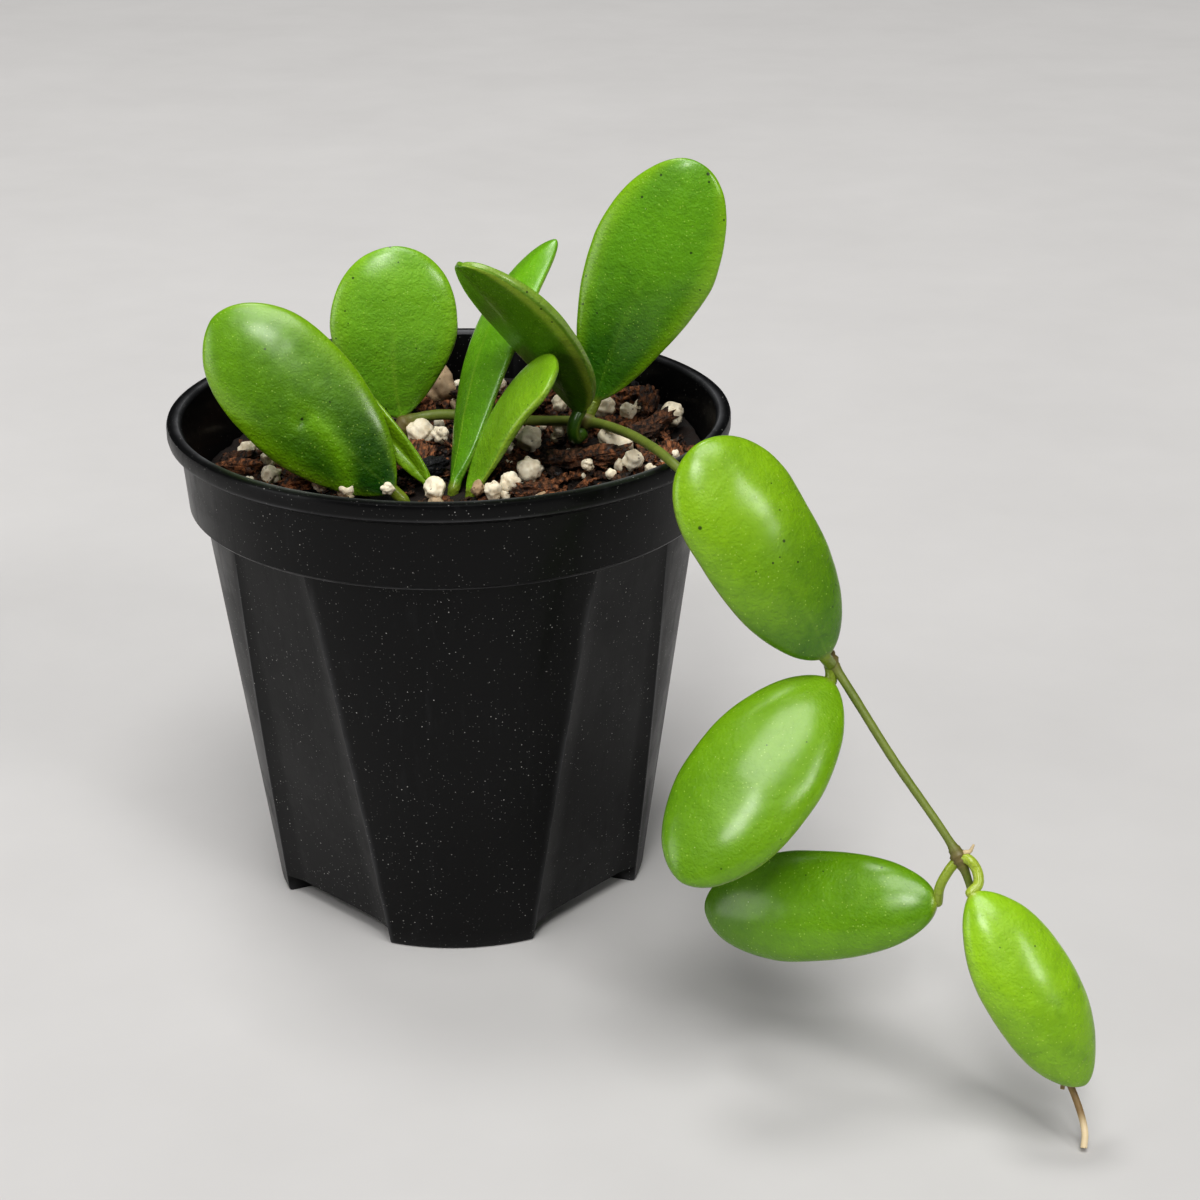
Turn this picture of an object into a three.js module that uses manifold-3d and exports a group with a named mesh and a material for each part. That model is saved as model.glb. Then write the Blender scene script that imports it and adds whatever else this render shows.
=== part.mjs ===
// A potted hoya. A black nursery pot on four feet is filled with potting mix. Four leaves are
// rooted straight in the mix. One stem rises from it, carries three leaves above the pot, crosses
// the rim and trails down to the table with four more.
// Millimetres, +Z up. Places are given about the pot's axis, feet on z = 0 and the stem hanging
// towards +X and -Y. The last lines move the whole group so that the origin lies under the middle
// of its bounding box.
import * as THREE from 'three';
import { mergeVertices } from 'three/addons/utils/BufferGeometryUtils.js';
import Module from 'manifold-3d';

const wasm = await Module();
wasm.setup();

// ---------------------------------------------------------------- driving dimensions

const GAP = 0.45;                    // clearance between the mix and the pot, less at corners
const FIT = 0.6;                     // clearance round a stalk or stem, less where facets meet

const POT = {
  height: 109.3,
  rimRadius: 60,                     // outside of the rolled lip: a 12 cm pot
  lipFoot: 105.1,                    // where the lip leaves the collar
  collarTop: 57.4,                   // collar radius under the lip
  collarFoot: 56.4,                  // collar radius at its lower edge
  collarZ: 90.2,                     // underside of the collar
  bodyTop: 53.4,                     // leg radius under the collar
  foot: 42,                          // leg radius at the floor
  panelTop: 52.2,                    // distance from the axis to a flat panel, under the collar
  panelFoot: 37.5,                   // the same at the floor, where the panel is set well back
  legHalfTop: 33.3,                  // half angle of a leg, in degrees, under the collar
  legHalfFoot: 21.5,
  panelHalfTop: 10.2,                // half angle of a flat panel
  panelHalfFoot: 18,
  turn: 3,                           // the front leg points this far to +X of -Y
  wall: 1.5,
  footHeight: 4,                     // the base plate is raised this far between the feet
  baseTop: 6,                        // inside face of the base plate
  padInner: 27.5,                    // the feet start at this radius
  padHalf: 22,                       // half angle of a foot
  edge: 0.8,                         // rounding of the feet and of the lip
};
// Drain holes in the base: a quarter turn apart, from this angle after the front leg.
const DRAINS = [
  { count: 1, out: 0, r: 5, from: 0 },
  { count: 4, out: 16, r: 3.5, from: 0 },
  { count: 4, out: 29, r: 4, from: 45 },
];
const LEG_STEPS = 12;
const PANEL_STEPS = 4;

const SOIL = {
  level: 98.5,                       // at the axis
  slopeX: 0.06,                      // it lies higher on the right and at the back
  slopeY: 0.035,
  lump: 0.7,
  rings: [0.16, 0.32, 0.47, 0.61, 0.75, 0.88, 1],   // shares of the way out to the wall
};
// Bark chips and perlite grains: how many, half sizes, how far they tip and how deep they sink.
const SEED = 20;
const LUMPS = [
  { count: 32, size: [3.6, 2.1, 1.5], tip: 0.35, sink: 0.1 },
  { count: 28, size: [2, 1.8, 1.6], tip: 1.5, sink: -0.3 },
];
const LUMP_CLEARANCE = 1.2;          // from a lump to the nearest stalk or stem

// Radii at the root and at the broken end, how much a node swells and along what length.
const STEM = { root: 1.2, end: 0.65, swell: 0.7, nodeLength: 2.2, sides: 8, steps: 72 };

// The stem's route, from below the mix to its broken end on the table.
const NODE_A = [-11.5, 13.5, 100.5];
const NODE_B = [29, 4, 104.5];
const NODE_C = [75.5, -69.5, 82];
const NODE_D = [99, -91, 51];
const ROUTE = [
  [-11, 12.5, 92], [-11.3, 13, 96.5], NODE_A, [-6, 15.5, 102], [5.5, 13, 102.7],
  [17, 9.3, 103], NODE_B, [36.5, -10, 107.2], [42, -29, 110.6], [45.5, -40.5, 111.7],
  [51, -47.5, 108.5], [59, -55, 100.5], NODE_C, [87, -80.5, 66.5], NODE_D,
  [102.5, -93.3, 42.5], [112, -98.5, 25], [119.5, -104, 12], [122, -108, 6.4],
  [122.7, -110.5, 3.2], [122.4, -112, 0.9],
];
// A dry flower stalk on the last node, and a split near the broken end: radii and points.
const SPUR = { from: 0.9, to: 0.35, path: [NODE_D, [100.6, -91.3, 52.2], [102, -91.6, 53],
  [103.4, -91.4, 55]] };
const SPLIT = { from: 0.6, to: 0.4, path: [[119.6, -104.1, 11.8], [119, -105.3, 10.6],
  [118.8, -106, 9.8]] };

const COLOURS = { pot: 0x17181a, mix: 0x33221a, stem: 0x77833a };

// Each leaf: where its blade starts and ends, which way its upper face looks, its width, where it
// is widest, how full and how pointed its foot is and then its tip, how the midrib bows towards the
// face and to the side, how far its edges droop (cup) or fold, how far it twists, and the points of
// its stalk, from the free end to the blade.
const BELOW = 92.5;                  // how deep the rooted stalks reach
const LEAVES = [
  { name: 'leaf_left_broad', tint: 0x4d9a17, base: [-10.8, -19, 96.9], tip: [-48.1, -8, 131],
    face: [0, -0.95, 0.33], width: 26.8, widest: 0.59, shape: [2.1, 0.73, 2.35, 0.55], bow: [2.5, 2.5],
    sway: [-0.8, 1.3], droop: 1.5, fold: 0, twist: 0, thick: 4, stalk: 1.3,
    path: [[-8.5, -19.5, BELOW], [-9, -19.3, 95]] },
  { name: 'leaf_left_round', tint: 0x4a9423, base: [-11.9, 15, 101.8], tip: [-12.6, 22, 138.6],
    face: [0.06, -0.98, 0.18], width: 27.8, widest: 0.54, shape: [1.6, 0.63, 2.2, 0.49], bow: [2.5, 2.5],
    sway: [-3, 0.1], droop: 1.2, fold: 0, twist: 0, thick: 3.6, stalk: 1.2, path: [NODE_A] },
  { name: 'leaf_left_tucked', tint: 0x5c9a2a, base: [-3.1, -15.7, 96.7], tip: [-23.3, -1, 118.5],
    face: [-0.5, -0.6, 0.45], width: 7, widest: 0.58, shape: [1.87, 0.66, 2.09, 0.54], bow: [2, 2],
    sway: [1.5, -1.2], droop: 0, fold: 1.6, twist: 0, thick: 2.6, stalk: 1.3,
    path: [[-2, -15.7, BELOW], [-2.4, -15.7, 94.5]] },
  { name: 'leaf_mid_tall', tint: 0x469020, base: [1.3, -15.6, 96.3], tip: [22.7, 18.3, 141],
    face: [-0.65, -0.44, 0.62], width: 15.2, widest: 0.6, shape: [1.8, 0.78, 1.8, 0.58], bow: [2.2, 6],
    sway: [-3, -8.6], droop: 0.3, fold: -1.3, twist: 8, thick: 2.6, stalk: 1.2,
    path: [[1, -15.6, BELOW], [1, -15.6, 94.4]] },
  { name: 'leaf_mid_short', tint: 0x4a9423, base: [5.1, -17.9, 96.2], tip: [23.4, -17.6, 123.4],
    face: [-0.77, -0.27, 0.57], width: 15.5, widest: 0.69, shape: [1.8, 0.51, 3.4, 0.5], bow: [0.5, 3.5],
    sway: [-5.1, -5.5], droop: 1, fold: 0.6, twist: -9, thick: 2.8, stalk: 1.2,
    path: [[4.8, -18.4, BELOW], [4.8, -18.2, 94.3]] },
  { name: 'leaf_mid_tilted', tint: 0x3f8420, base: [27.8, 0.9, 108.1], tip: [4.3, -20.6, 145.7],
    face: [0.43, 0.65, 0.63], width: 20.9, widest: 0.58, shape: [1.8, 0.57, 1.8, 0.52], bow: [1.1, 1.3],
    sway: [-2.5, -1.6], droop: 1, fold: 2.8, twist: -4, thick: 3.2, stalk: 1.4,
    path: [[28.3, 2.6, 102.3], [26.9, 0.6, 101.9], [26.2, -0.8, 103.8], [26.6, -0.4, 106]] },
  { name: 'leaf_right_upright', tint: 0x4d9a17, base: [31.1, 6, 108.6], tip: [52.5, 12, 159.3],
    face: [-0.14, -0.98, 0.17], width: 27.7, widest: 0.59, shape: [1.42, 0.64, 1.81, 0.47], bow: [1.5, 1.5],
    sway: [-2.1, 0.3], droop: 1, fold: 0, twist: 0, thick: 3.6, stalk: 1.2, path: [NODE_B] },
  { name: 'leaf_trailing_first', tint: 0x5aa81c, base: [74.4, -72, 83.5], tip: [51, -64, 123.7],
    face: [0.2, -0.85, 0.5], width: 24.1, widest: 0.64, shape: [2.47, 0.56, 2.56, 0.49], bow: [4, 4],
    sway: [0.2, -1.7], droop: 2, fold: 0, twist: 0, thick: 5.5, stalk: 1.2,
    path: [[75.7, -70.6, 81.4]] },
  { name: 'leaf_trailing_second', tint: 0x5aa81c, base: [75.9, -71, 78], tip: [47, -96, 48.5],
    face: [-0.12, -0.7, 0.7], width: 25.1, widest: 0.51, shape: [2.14, 0.61, 2.26, 0.55], bow: [4, 4],
    sway: [0.6, 0.8], droop: 2, fold: 0, twist: 0, thick: 6, stalk: 1.2,
    path: [[75.7, -69.9, 80.9], [76, -70.4, 79.5]] },
  { name: 'leaf_trailing_third', tint: 0x4c9a18, base: [95.6, -91, 41.4], tip: [52.9, -76, 31.1],
    face: [-0.41, -0.75, 0.52], width: 21.2, widest: 0.57, shape: [2.25, 0.52, 2.32, 0.53], bow: [3.5, 3.5],
    sway: [-0.2, -0.2], droop: 2, fold: 0, twist: 0, thick: 6, stalk: 0.95,
    path: [NODE_D, [97.2, -91.2, 48.3], [95.8, -91.2, 44.9]] },
  { name: 'leaf_trailing_fourth', tint: 0x5aa81c, base: [100.7, -96, 46.4], tip: [121.7, -110, 13.9],
    face: [0.18, -0.86, 0.48], width: 18.6, widest: 0.51, shape: [2.37, 0.67, 2.1, 0.59], bow: [3.5, 3.5],
    sway: [-1.1, 0.3], droop: 2, fold: 0, twist: 0, thick: 5.5, stalk: 1,
    path: [NODE_D, [100.7, -92.2, 51.2], [102.1, -93.4, 49.5], [102.2, -94.8, 47.6]] },
];

// ---------------------------------------------------------------- shaping helpers

const rad = THREE.MathUtils.degToRad;
const lerp = THREE.MathUtils.lerp;
const vec = (p) => new THREE.Vector3(...p);

// A closed mesh through a list of rings with the same number of points. Each end is closed on a
// point: the given one, or the middle of the end ring.
function loft(rings, firstPole, lastPole) {
  const sides = rings[0].length;
  const points = rings.flat();
  const middle = (ring) => ring.reduce((sum, p) => sum.add(p), new THREE.Vector3())
    .divideScalar(sides);
  const first = points.push(firstPole ?? middle(rings[0])) - 1;
  const last = points.push(lastPole ?? middle(rings[rings.length - 1])) - 1;
  const index = [];
  for (let i = 0; i < rings.length; i++) {
    for (let k = 0; k < sides; k++) {
      const a = i * sides + k;
      const b = i * sides + ((k + 1) % sides);
      if (i === 0) index.push(first, b, a);
      if (i < rings.length - 1) index.push(a, b, b + sides, a, b + sides, a + sides);
      else index.push(a, b, last);
    }
  }
  const geometry = new THREE.BufferGeometry();
  geometry.setAttribute('position',
    new THREE.Float32BufferAttribute(points.flatMap((p) => [p.x, p.y, p.z]), 3));
  geometry.setIndex(index);
  return solid(geometry);
}

// A closed geometry as a manifold solid, turned right side out where its rings ran the other way.
function solid(geometry) {
  geometry.deleteAttribute('normal');
  geometry.deleteAttribute('uv');
  const merged = mergeVertices(geometry, 1e-4);
  const vertProperties = merged.attributes.position.array;
  const triVerts = Uint32Array.from(merged.index.array);
  const corner = (i) => new THREE.Vector3().fromArray(vertProperties, 3 * triVerts[i]);
  let volume = 0;
  for (let i = 0; i < triVerts.length; i += 3) {
    volume += corner(i).dot(corner(i + 1).cross(corner(i + 2)));
  }
  if (volume < 0) triVerts.reverse();
  return new wasm.Manifold(new wasm.Mesh({ numProp: 3, vertProperties, triVerts }));
}

// The largest body of a cut solid, without loose scraps.
function largest(cut) {
  return cut.decompose().sort((a, b) => b.volume() - a.volume())[0];
}

function piece(name, body, colour, roughness) {
  const { vertProperties, triVerts } = body.getMesh();
  const geometry = new THREE.BufferGeometry();
  geometry.setAttribute('position', new THREE.Float32BufferAttribute(vertProperties, 3));
  geometry.setIndex(new THREE.BufferAttribute(Uint32Array.from(triVerts), 1));
  geometry.computeVertexNormals();
  const material = new THREE.MeshStandardMaterial({ color: colour, roughness, metalness: 0 });
  const mesh = new THREE.Mesh(geometry, material);
  mesh.name = name;
  return mesh;
}

// Repeatable draws between 0 and 1.
function seededDraw(seed) {
  let state = seed;
  return () => {
    state = (state + 0x6d2b79f5) | 0;
    let t = Math.imul(state ^ (state >>> 15), 1 | state);
    t = (t + Math.imul(t ^ (t >>> 7), 61 | t)) ^ t;
    return ((t ^ (t >>> 14)) >>> 0) / 4294967296;
  };
}

// ---------------------------------------------------------------- nursery pot

// One ring of the pot's tapered body: four curved legs with a flat, set-back panel between each
// pair. inset moves the ring inwards, for the inside of the wall and for the mix.
function bodyRing(z, inset) {
  const t = THREE.MathUtils.clamp(z / POT.collarZ, 0, 1);
  const leg = lerp(POT.foot, POT.bodyTop, t) - inset;
  const panel = lerp(POT.panelFoot, POT.panelTop, t) - inset;
  return stations(t).map(({ angle, off }) => {
    const r = off === null ? leg : Math.min(leg, panel / Math.cos(off));
    return new THREE.Vector3(r * Math.cos(angle), r * Math.sin(angle), z);
  });
}

// The angles of a ring's points. off is a point's angle from the middle of its panel, or null on
// a leg.
function stations(t) {
  const legHalf = rad(lerp(POT.legHalfFoot, POT.legHalfTop, t));
  const panelHalf = rad(lerp(POT.panelHalfFoot, POT.panelHalfTop, t));
  const list = [];
  for (let quarter = 0; quarter < 4; quarter++) {
    const middle = rad(POT.turn - 90 + 90 * quarter);
    for (let i = 0; i <= LEG_STEPS; i++) {
      list.push({ angle: middle + legHalf * ((2 * i) / LEG_STEPS - 1), off: null });
    }
    for (let i = 0; i <= PANEL_STEPS; i++) {
      const off = panelHalf * ((2 * i) / PANEL_STEPS - 1);
      list.push({ angle: middle + Math.PI / 4 + off, off });
    }
  }
  return list;
}

function roundRing(z, r) {
  return stations(1).map(({ angle }) => new THREE.Vector3(r * Math.cos(angle),
    r * Math.sin(angle), z));
}

// An upright prism over a sector between two radii, centred on a direction.
function sector(middle, half, inner, outer, z0, z1) {
  const shape = new THREE.Shape();
  shape.absarc(0, 0, outer, middle - half, middle + half, false);
  shape.absarc(0, 0, inner, middle + half, middle - half, true);
  const block = new THREE.ExtrudeGeometry(shape,
    { depth: z1 - z0, bevelEnabled: false, curveSegments: 8 });
  return solid(block.translate(0, 0, z0));
}

function upright(x, y, r, z0, z1, sides) {
  const rod = new THREE.CylinderGeometry(r, r, z1 - z0, sides).rotateX(Math.PI / 2);
  return solid(rod.translate(x, y, (z0 + z1) / 2));
}

// Directions a quarter turn apart, the first one this many degrees after the front leg.
function quarterTurns(from) {
  return [0, 1, 2, 3].map((quarter) => rad(POT.turn - 90 + from + 90 * quarter));
}

function pot() {
  const innerFoot = 2 * POT.wall;
  const { edge } = POT;
  const skin = loft([
    bodyRing(0, edge), bodyRing(edge, 0), bodyRing(POT.collarZ, 0),
    roundRing(POT.collarZ, POT.collarFoot - edge), roundRing(POT.collarZ + edge, POT.collarFoot),
    roundRing(POT.lipFoot - edge, POT.collarTop), roundRing(POT.lipFoot, POT.collarTop + edge),
    roundRing(POT.lipFoot + edge, POT.rimRadius - edge / 4),
    roundRing(POT.lipFoot + 2 * edge, POT.rimRadius), roundRing(POT.height - edge, POT.rimRadius),
    roundRing(POT.height - edge / 4, POT.rimRadius - edge / 4),
    roundRing(POT.height, POT.rimRadius - edge), roundRing(POT.height, POT.rimRadius - 3 * edge),
    roundRing(POT.height - edge, POT.rimRadius - 4 * edge),
    roundRing(POT.lipFoot - 0.6, POT.collarTop - POT.wall),
    roundRing(POT.collarZ + 2.2, POT.collarFoot - POT.wall + 0.1),
    bodyRing(POT.collarZ + 1, POT.wall), bodyRing(POT.baseTop + 2, POT.wall),
    bodyRing(POT.baseTop, innerFoot),
  ], new THREE.Vector3(0, 0, 0), new THREE.Vector3(0, 0, POT.baseTop));

  const cutters = [upright(0, 0, POT.padInner, -1, POT.footHeight, 48)];
  for (const middle of quarterTurns(45)) {
    cutters.push(sector(middle, rad(45 - POT.padHalf), POT.padInner - 1, POT.foot + 5,
      -1, POT.footHeight));
  }
  for (const middle of quarterTurns(0)) cutters.push(footPocket(middle, 0));
  for (const drain of DRAINS) {
    for (const middle of quarterTurns(drain.from).slice(0, drain.count)) {
      cutters.push(upright(drain.out * Math.cos(middle), drain.out * Math.sin(middle), drain.r,
        POT.footHeight - 1, POT.baseTop + 1, 16));
    }
  }
  return largest(cutters.reduce((body, cutter) => body.subtract(cutter), skin));
}

// The hollow inside a foot, or with an inset the mix that fills it.
function footPocket(middle, inset) {
  return sector(middle, rad(POT.padHalf - 3.5) - inset / POT.padInner, POT.padInner + POT.wall + inset,
    POT.foot - POT.wall - 0.4 - inset, POT.wall + inset, POT.baseTop + 1 - inset);
}

// ---------------------------------------------------------------- leaves

// Half width along the blade, from 0 at the stalk to 1 at the widest place and 0 at the tip.
function outline(s, leaf) {
  const [footFullness, footEnd, tipFullness, tipEnd] = leaf.shape;
  return s < leaf.widest
    ? (1 - (1 - s / leaf.widest) ** footFullness) ** footEnd
    : (1 - ((s - leaf.widest) / (1 - leaf.widest)) ** tipFullness) ** tipEnd;
}

const LEAF_SIDES = 10;
const BLADE_STEPS = 11;
const SHARP_BEND = rad(40);
const KNUCKLE = 0.92;                // share of the stalk's radius

// A ring of a leaf: half width, half thickness, and how far its edges bend away from the face.
function leafRing(centre, side, normal, halfWidth, halfThick, droop, fold) {
  return Array.from({ length: LEAF_SIDES }, (_, k) => {
    const turn = (2 * Math.PI * k) / LEAF_SIDES;
    const across = Math.cos(turn);
    const rise = halfThick * Math.sin(turn) - droop * across * across + fold * Math.abs(across);
    return centre.clone().addScaledVector(side, across * halfWidth)
      .addScaledVector(normal, rise);
  });
}

// Stalk and blade as one closed body: a single skin, or two joined on a knuckle where they meet at
// a sharp angle. inflate thickens the body all round, to cut its hole in the mix.
function leafBody(leaf, inflate = 0) {
  const base = vec(leaf.base);
  const tip = vec(leaf.tip);
  const chord = tip.clone().sub(base);
  const along = chord.clone().normalize();
  const face = vec(leaf.face);
  face.addScaledVector(along, -face.dot(along)).normalize();
  const across = along.clone().cross(face);
  const control = (third) => base.clone().addScaledVector(chord, (third + 1) / 3)
    .addScaledVector(face, leaf.bow[third]).addScaledVector(across, leaf.sway[third]);
  const midrib = new THREE.CubicBezierCurve3(base, control(0), control(1), tip);
  const stalk = leaf.stalk + inflate;

  const blade = [];
  for (let i = 0; i < BLADE_STEPS; i++) {
    const s = 0.5 - 0.5 * Math.cos((Math.PI * i) / BLADE_STEPS);
    const tangent = midrib.getTangent(s);
    const normal = face.clone().addScaledVector(tangent, -face.dot(tangent)).normalize();
    normal.applyAxisAngle(tangent, rad(leaf.twist) * (s - 0.5));
    const side = tangent.clone().cross(normal);
    const full = outline(s, leaf);
    const taper = stalk * (1 - s) ** 2;
    blade.push(leafRing(midrib.getPoint(s), side, normal,
      Math.max(full * leaf.width / 2 + inflate, taper),
      Math.max(Math.sqrt(full) * leaf.thick / 2 + inflate, taper),
      leaf.droop * full * full, leaf.fold * full));
  }

  // The stalk's rings carry the blade's first frame back along its route.
  const start = vec(leaf.path[0]).setZ(leaf.path[0][2] - inflate);
  const route = new THREE.CatmullRomCurve3([start, ...leaf.path.slice(1).map(vec), base], false,
    'centripetal');
  const steps = 2 + leaf.path.length;
  const stalkRings = [];
  let normal = face.clone();
  for (let i = steps; i >= 0; i--) {
    const tangent = route.getTangent(i / steps);
    normal = normal.addScaledVector(tangent, -normal.dot(tangent)).normalize();
    const side = tangent.clone().cross(normal);
    stalkRings.unshift(leafRing(route.getPoint(i / steps), side, normal, stalk, stalk, 0, 0));
  }
  if (route.getTangent(1).angleTo(midrib.getTangent(0)) < SHARP_BEND) {
    return loft([...stalkRings.slice(0, -1), ...blade], undefined, tip);
  }
  const knuckle = solid(new THREE.IcosahedronGeometry(KNUCKLE * stalk, 1)
    .translate(base.x, base.y, base.z));
  return loft(blade, undefined, tip).add(loft(stalkRings)).add(knuckle);
}

// ---------------------------------------------------------------- trailing stem

function bulge(point, node, height) {
  return height * Math.exp(-(((point.distanceTo(vec(node))) / STEM.nodeLength) ** 2));
}

function tube(points, radiusAt, steps, sides) {
  const curve = new THREE.CatmullRomCurve3(points.map(vec), false, 'centripetal');
  const frames = curve.computeFrenetFrames(steps);
  const rings = frames.tangents.map((_, i) => {
    const centre = curve.getPointAt(i / steps);
    const r = radiusAt(i / steps, centre);
    return Array.from({ length: sides }, (__, k) => {
      const turn = (2 * Math.PI * k) / sides;
      return centre.clone().addScaledVector(frames.normals[i], r * Math.cos(turn))
        .addScaledVector(frames.binormals[i], r * Math.sin(turn));
    });
  });
  return loft(rings);
}

function stemBody(inflate = 0) {
  const [foot, ...above] = ROUTE;
  const stem = tube([[foot[0], foot[1], foot[2] - inflate], ...above], (t, centre) => {
    const swell = [NODE_A, NODE_B, NODE_C, NODE_D]
      .reduce((sum, node) => sum + bulge(centre, node, STEM.swell), 0);
    return lerp(STEM.root, STEM.end, t) + swell + inflate;
  }, STEM.steps, STEM.sides);
  const [spur, split] = [SPUR, SPLIT].map(({ from, to, path }) => tube(path,
    (t) => lerp(from, to, t) + inflate, 2 * path.length - 2, 6));
  return stem.add(spur).add(split);
}

// ---------------------------------------------------------------- potting mix

// Height of the mix: a gentle slope with low waves in it.
function soilHeight(x, y) {
  const waves = Math.sin(x / 6.1 + y / 9.3 + 0.7) + Math.sin(x / 11 - y / 5.4 + 2.1)
    + Math.sin((x + y) / 7.7 + 4);
  return SOIL.level + SOIL.slopeX * x + SOIL.slopeY * y + (SOIL.lump * waves) / 2;
}

// A lump of bark or a grain: an icosahedron pushed out of shape by seeded draws.
function lump(draw, x, y, size, tip, sink) {
  const grain = mergeVertices(new THREE.IcosahedronGeometry(1, 0).deleteAttribute('normal')
    .deleteAttribute('uv'), 1e-4);
  const at = grain.attributes.position;
  for (let i = 0; i < at.count; i++) {
    const stretch = 0.82 + 0.36 * draw();
    at.setXYZ(i, at.getX(i) * stretch, at.getY(i) * stretch, at.getZ(i) * stretch);
  }
  grain.scale(size[0], size[1], size[2]);
  grain.rotateX(tip * (2 * draw() - 1)).rotateY(tip * (2 * draw() - 1));
  grain.rotateZ(draw() * Math.PI);
  return solid(grain.translate(x, y, soilHeight(x, y) - sink));
}

// Bark chips and perlite, seeded, well sunk, clear of every leaf and of the stem.
function lumps(clear) {
  const draw = seededDraw(SEED);
  const reach = POT.collarFoot - POT.wall - GAP;
  const list = [];
  for (const kind of LUMPS) {
    let made = 0;
    while (made < kind.count) {
      const size = kind.size.map((d) => d * (0.7 + 0.6 * draw()));
      const r = (reach - 1.2 * size[0]) * Math.sqrt(draw());
      const angle = 2 * Math.PI * draw();
      const x = r * Math.cos(angle);
      const y = r * Math.sin(angle);
      const at = new THREE.Vector3(x, y, soilHeight(x, y));
      if (clear.some((p) => p.distanceTo(at) < 1.3 * size[0] + LUMP_CLEARANCE)) continue;
      list.push(lump(draw, x, y, size, kind.tip, kind.sink));
      made++;
    }
  }
  return list;
}

function pottingMix(clear) {
  const wallRadius = (z) => lerp(POT.collarFoot + 0.1, POT.collarTop,
    (z - POT.collarZ - 2.2) / (POT.lipFoot - 0.6 - POT.collarZ - 2.2)) - POT.wall - GAP;
  const edge = wallRadius(SOIL.level - 3);
  const rings = SOIL.rings.map((share) => roundRing(0, share * edge)
    .map((p) => p.setZ(soilHeight(p.x, p.y))));
  rings.push(
    roundRing(POT.collarZ + 2.5, POT.collarFoot - POT.wall - GAP),
    bodyRing(POT.collarZ + 1.3, POT.wall + GAP),
    bodyRing(POT.baseTop + 2, POT.wall + GAP),
    bodyRing(POT.baseTop + GAP, 2 * POT.wall + GAP),
  );
  let mix = loft(rings, new THREE.Vector3(0, 0, soilHeight(0, 0)),
    new THREE.Vector3(0, 0, POT.baseTop + GAP));
  for (const middle of quarterTurns(0)) mix = mix.add(footPocket(middle, GAP));
  return lumps(clear).reduce((body, part) => body.add(part), mix);
}

// ---------------------------------------------------------------- assembly

const plant = new THREE.Group();
const stem = stemBody();
const stemClearance = stemBody(FIT);
const leafBodies = LEAVES.map((leaf) => largest(leafBody(leaf).subtract(stemClearance)));

// Points that the lumps keep away from: the leaves' surfaces and the stem near the mix.
const clear = [];
for (const body of [...leafBodies, stem]) {
  const { vertProperties } = body.getMesh();
  for (let i = 0; i < vertProperties.length; i += 3) {
    const p = new THREE.Vector3().fromArray(vertProperties, i);
    if (p.z < POT.height && Math.hypot(p.x, p.y) < POT.rimRadius) clear.push(p);
  }
}

let mix = pottingMix(clear).subtract(stemClearance);
for (const leaf of LEAVES) {
  if (leaf.path[0][2] === BELOW) mix = mix.subtract(leafBody(leaf, FIT));
}

plant.add(piece('nursery_pot', pot(), COLOURS.pot, 0.5));
plant.add(piece('potting_mix', largest(mix), COLOURS.mix, 0.95));
plant.add(piece('trailing_stem', stem, COLOURS.stem, 0.6));
LEAVES.forEach((leaf, i) => plant.add(piece(leaf.name, leafBodies[i], leaf.tint, 0.35)));

const middle = new THREE.Box3().setFromObject(plant).getCenter(new THREE.Vector3());
plant.position.set(-middle.x, -middle.y, 0);

export default plant;
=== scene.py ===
"""A potted hoya in a studio picture: black nursery pot, bark mix, one trailing stem, eleven leaves.

Shapes are worked out in millimetres about the pot's axis, feet on z = 0, and placed in the row
frame, in metres, when their mesh is made.
"""
import math

import bmesh
import bpy
import numpy as np
from mathutils import Euler, Matrix, Vector, noise
from mathutils.bvhtree import BVHTree


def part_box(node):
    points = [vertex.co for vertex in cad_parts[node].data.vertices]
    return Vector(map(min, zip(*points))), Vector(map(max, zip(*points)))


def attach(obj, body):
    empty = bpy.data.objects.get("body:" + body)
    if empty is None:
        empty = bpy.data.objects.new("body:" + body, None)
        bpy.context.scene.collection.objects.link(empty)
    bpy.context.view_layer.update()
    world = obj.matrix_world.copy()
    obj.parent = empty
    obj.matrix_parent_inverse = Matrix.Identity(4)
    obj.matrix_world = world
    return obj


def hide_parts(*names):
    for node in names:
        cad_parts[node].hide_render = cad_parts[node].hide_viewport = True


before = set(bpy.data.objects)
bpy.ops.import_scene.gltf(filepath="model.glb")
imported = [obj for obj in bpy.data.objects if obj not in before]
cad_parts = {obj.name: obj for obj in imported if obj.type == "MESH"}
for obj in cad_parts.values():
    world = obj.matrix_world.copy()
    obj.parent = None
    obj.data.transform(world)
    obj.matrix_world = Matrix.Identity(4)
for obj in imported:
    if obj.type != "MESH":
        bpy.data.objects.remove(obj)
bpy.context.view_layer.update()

MM = 0.001
BODY = "root"
pot_low, pot_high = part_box("nursery_pot")
POT_AXIS = np.array([(pot_low.x + pot_high.x) / 2, (pot_low.y + pot_high.y) / 2, 0.0])

# ------------------------------------------------------------------ camera

IMAGE_SIZE = 1200
SENSOR = 36.0
LENS = 66.0
CAMERA = np.array([32.0, -449.0, 257.6])          # from the pot's axis
PITCH = math.radians(23.31)                       # below the horizon


def to_row(points):
    """Millimetres about the pot's axis to metres in the row frame."""
    return np.asarray(points, float) * MM + POT_AXIS


def sight(pixel):
    """Direction from the camera through a pixel of the 1200-pixel picture."""
    focal = LENS / SENSOR * IMAGE_SIZE
    right = (pixel[0] - IMAGE_SIZE / 2) / focal
    up = (IMAGE_SIZE / 2 - pixel[1]) / focal
    forward = np.array([0, math.cos(PITCH), -math.sin(PITCH)])
    upward = np.array([0, math.sin(PITCH), math.cos(PITCH)])
    ray = forward + up * upward + right * np.array([1, 0, 0])
    return ray / np.linalg.norm(ray)


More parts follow.
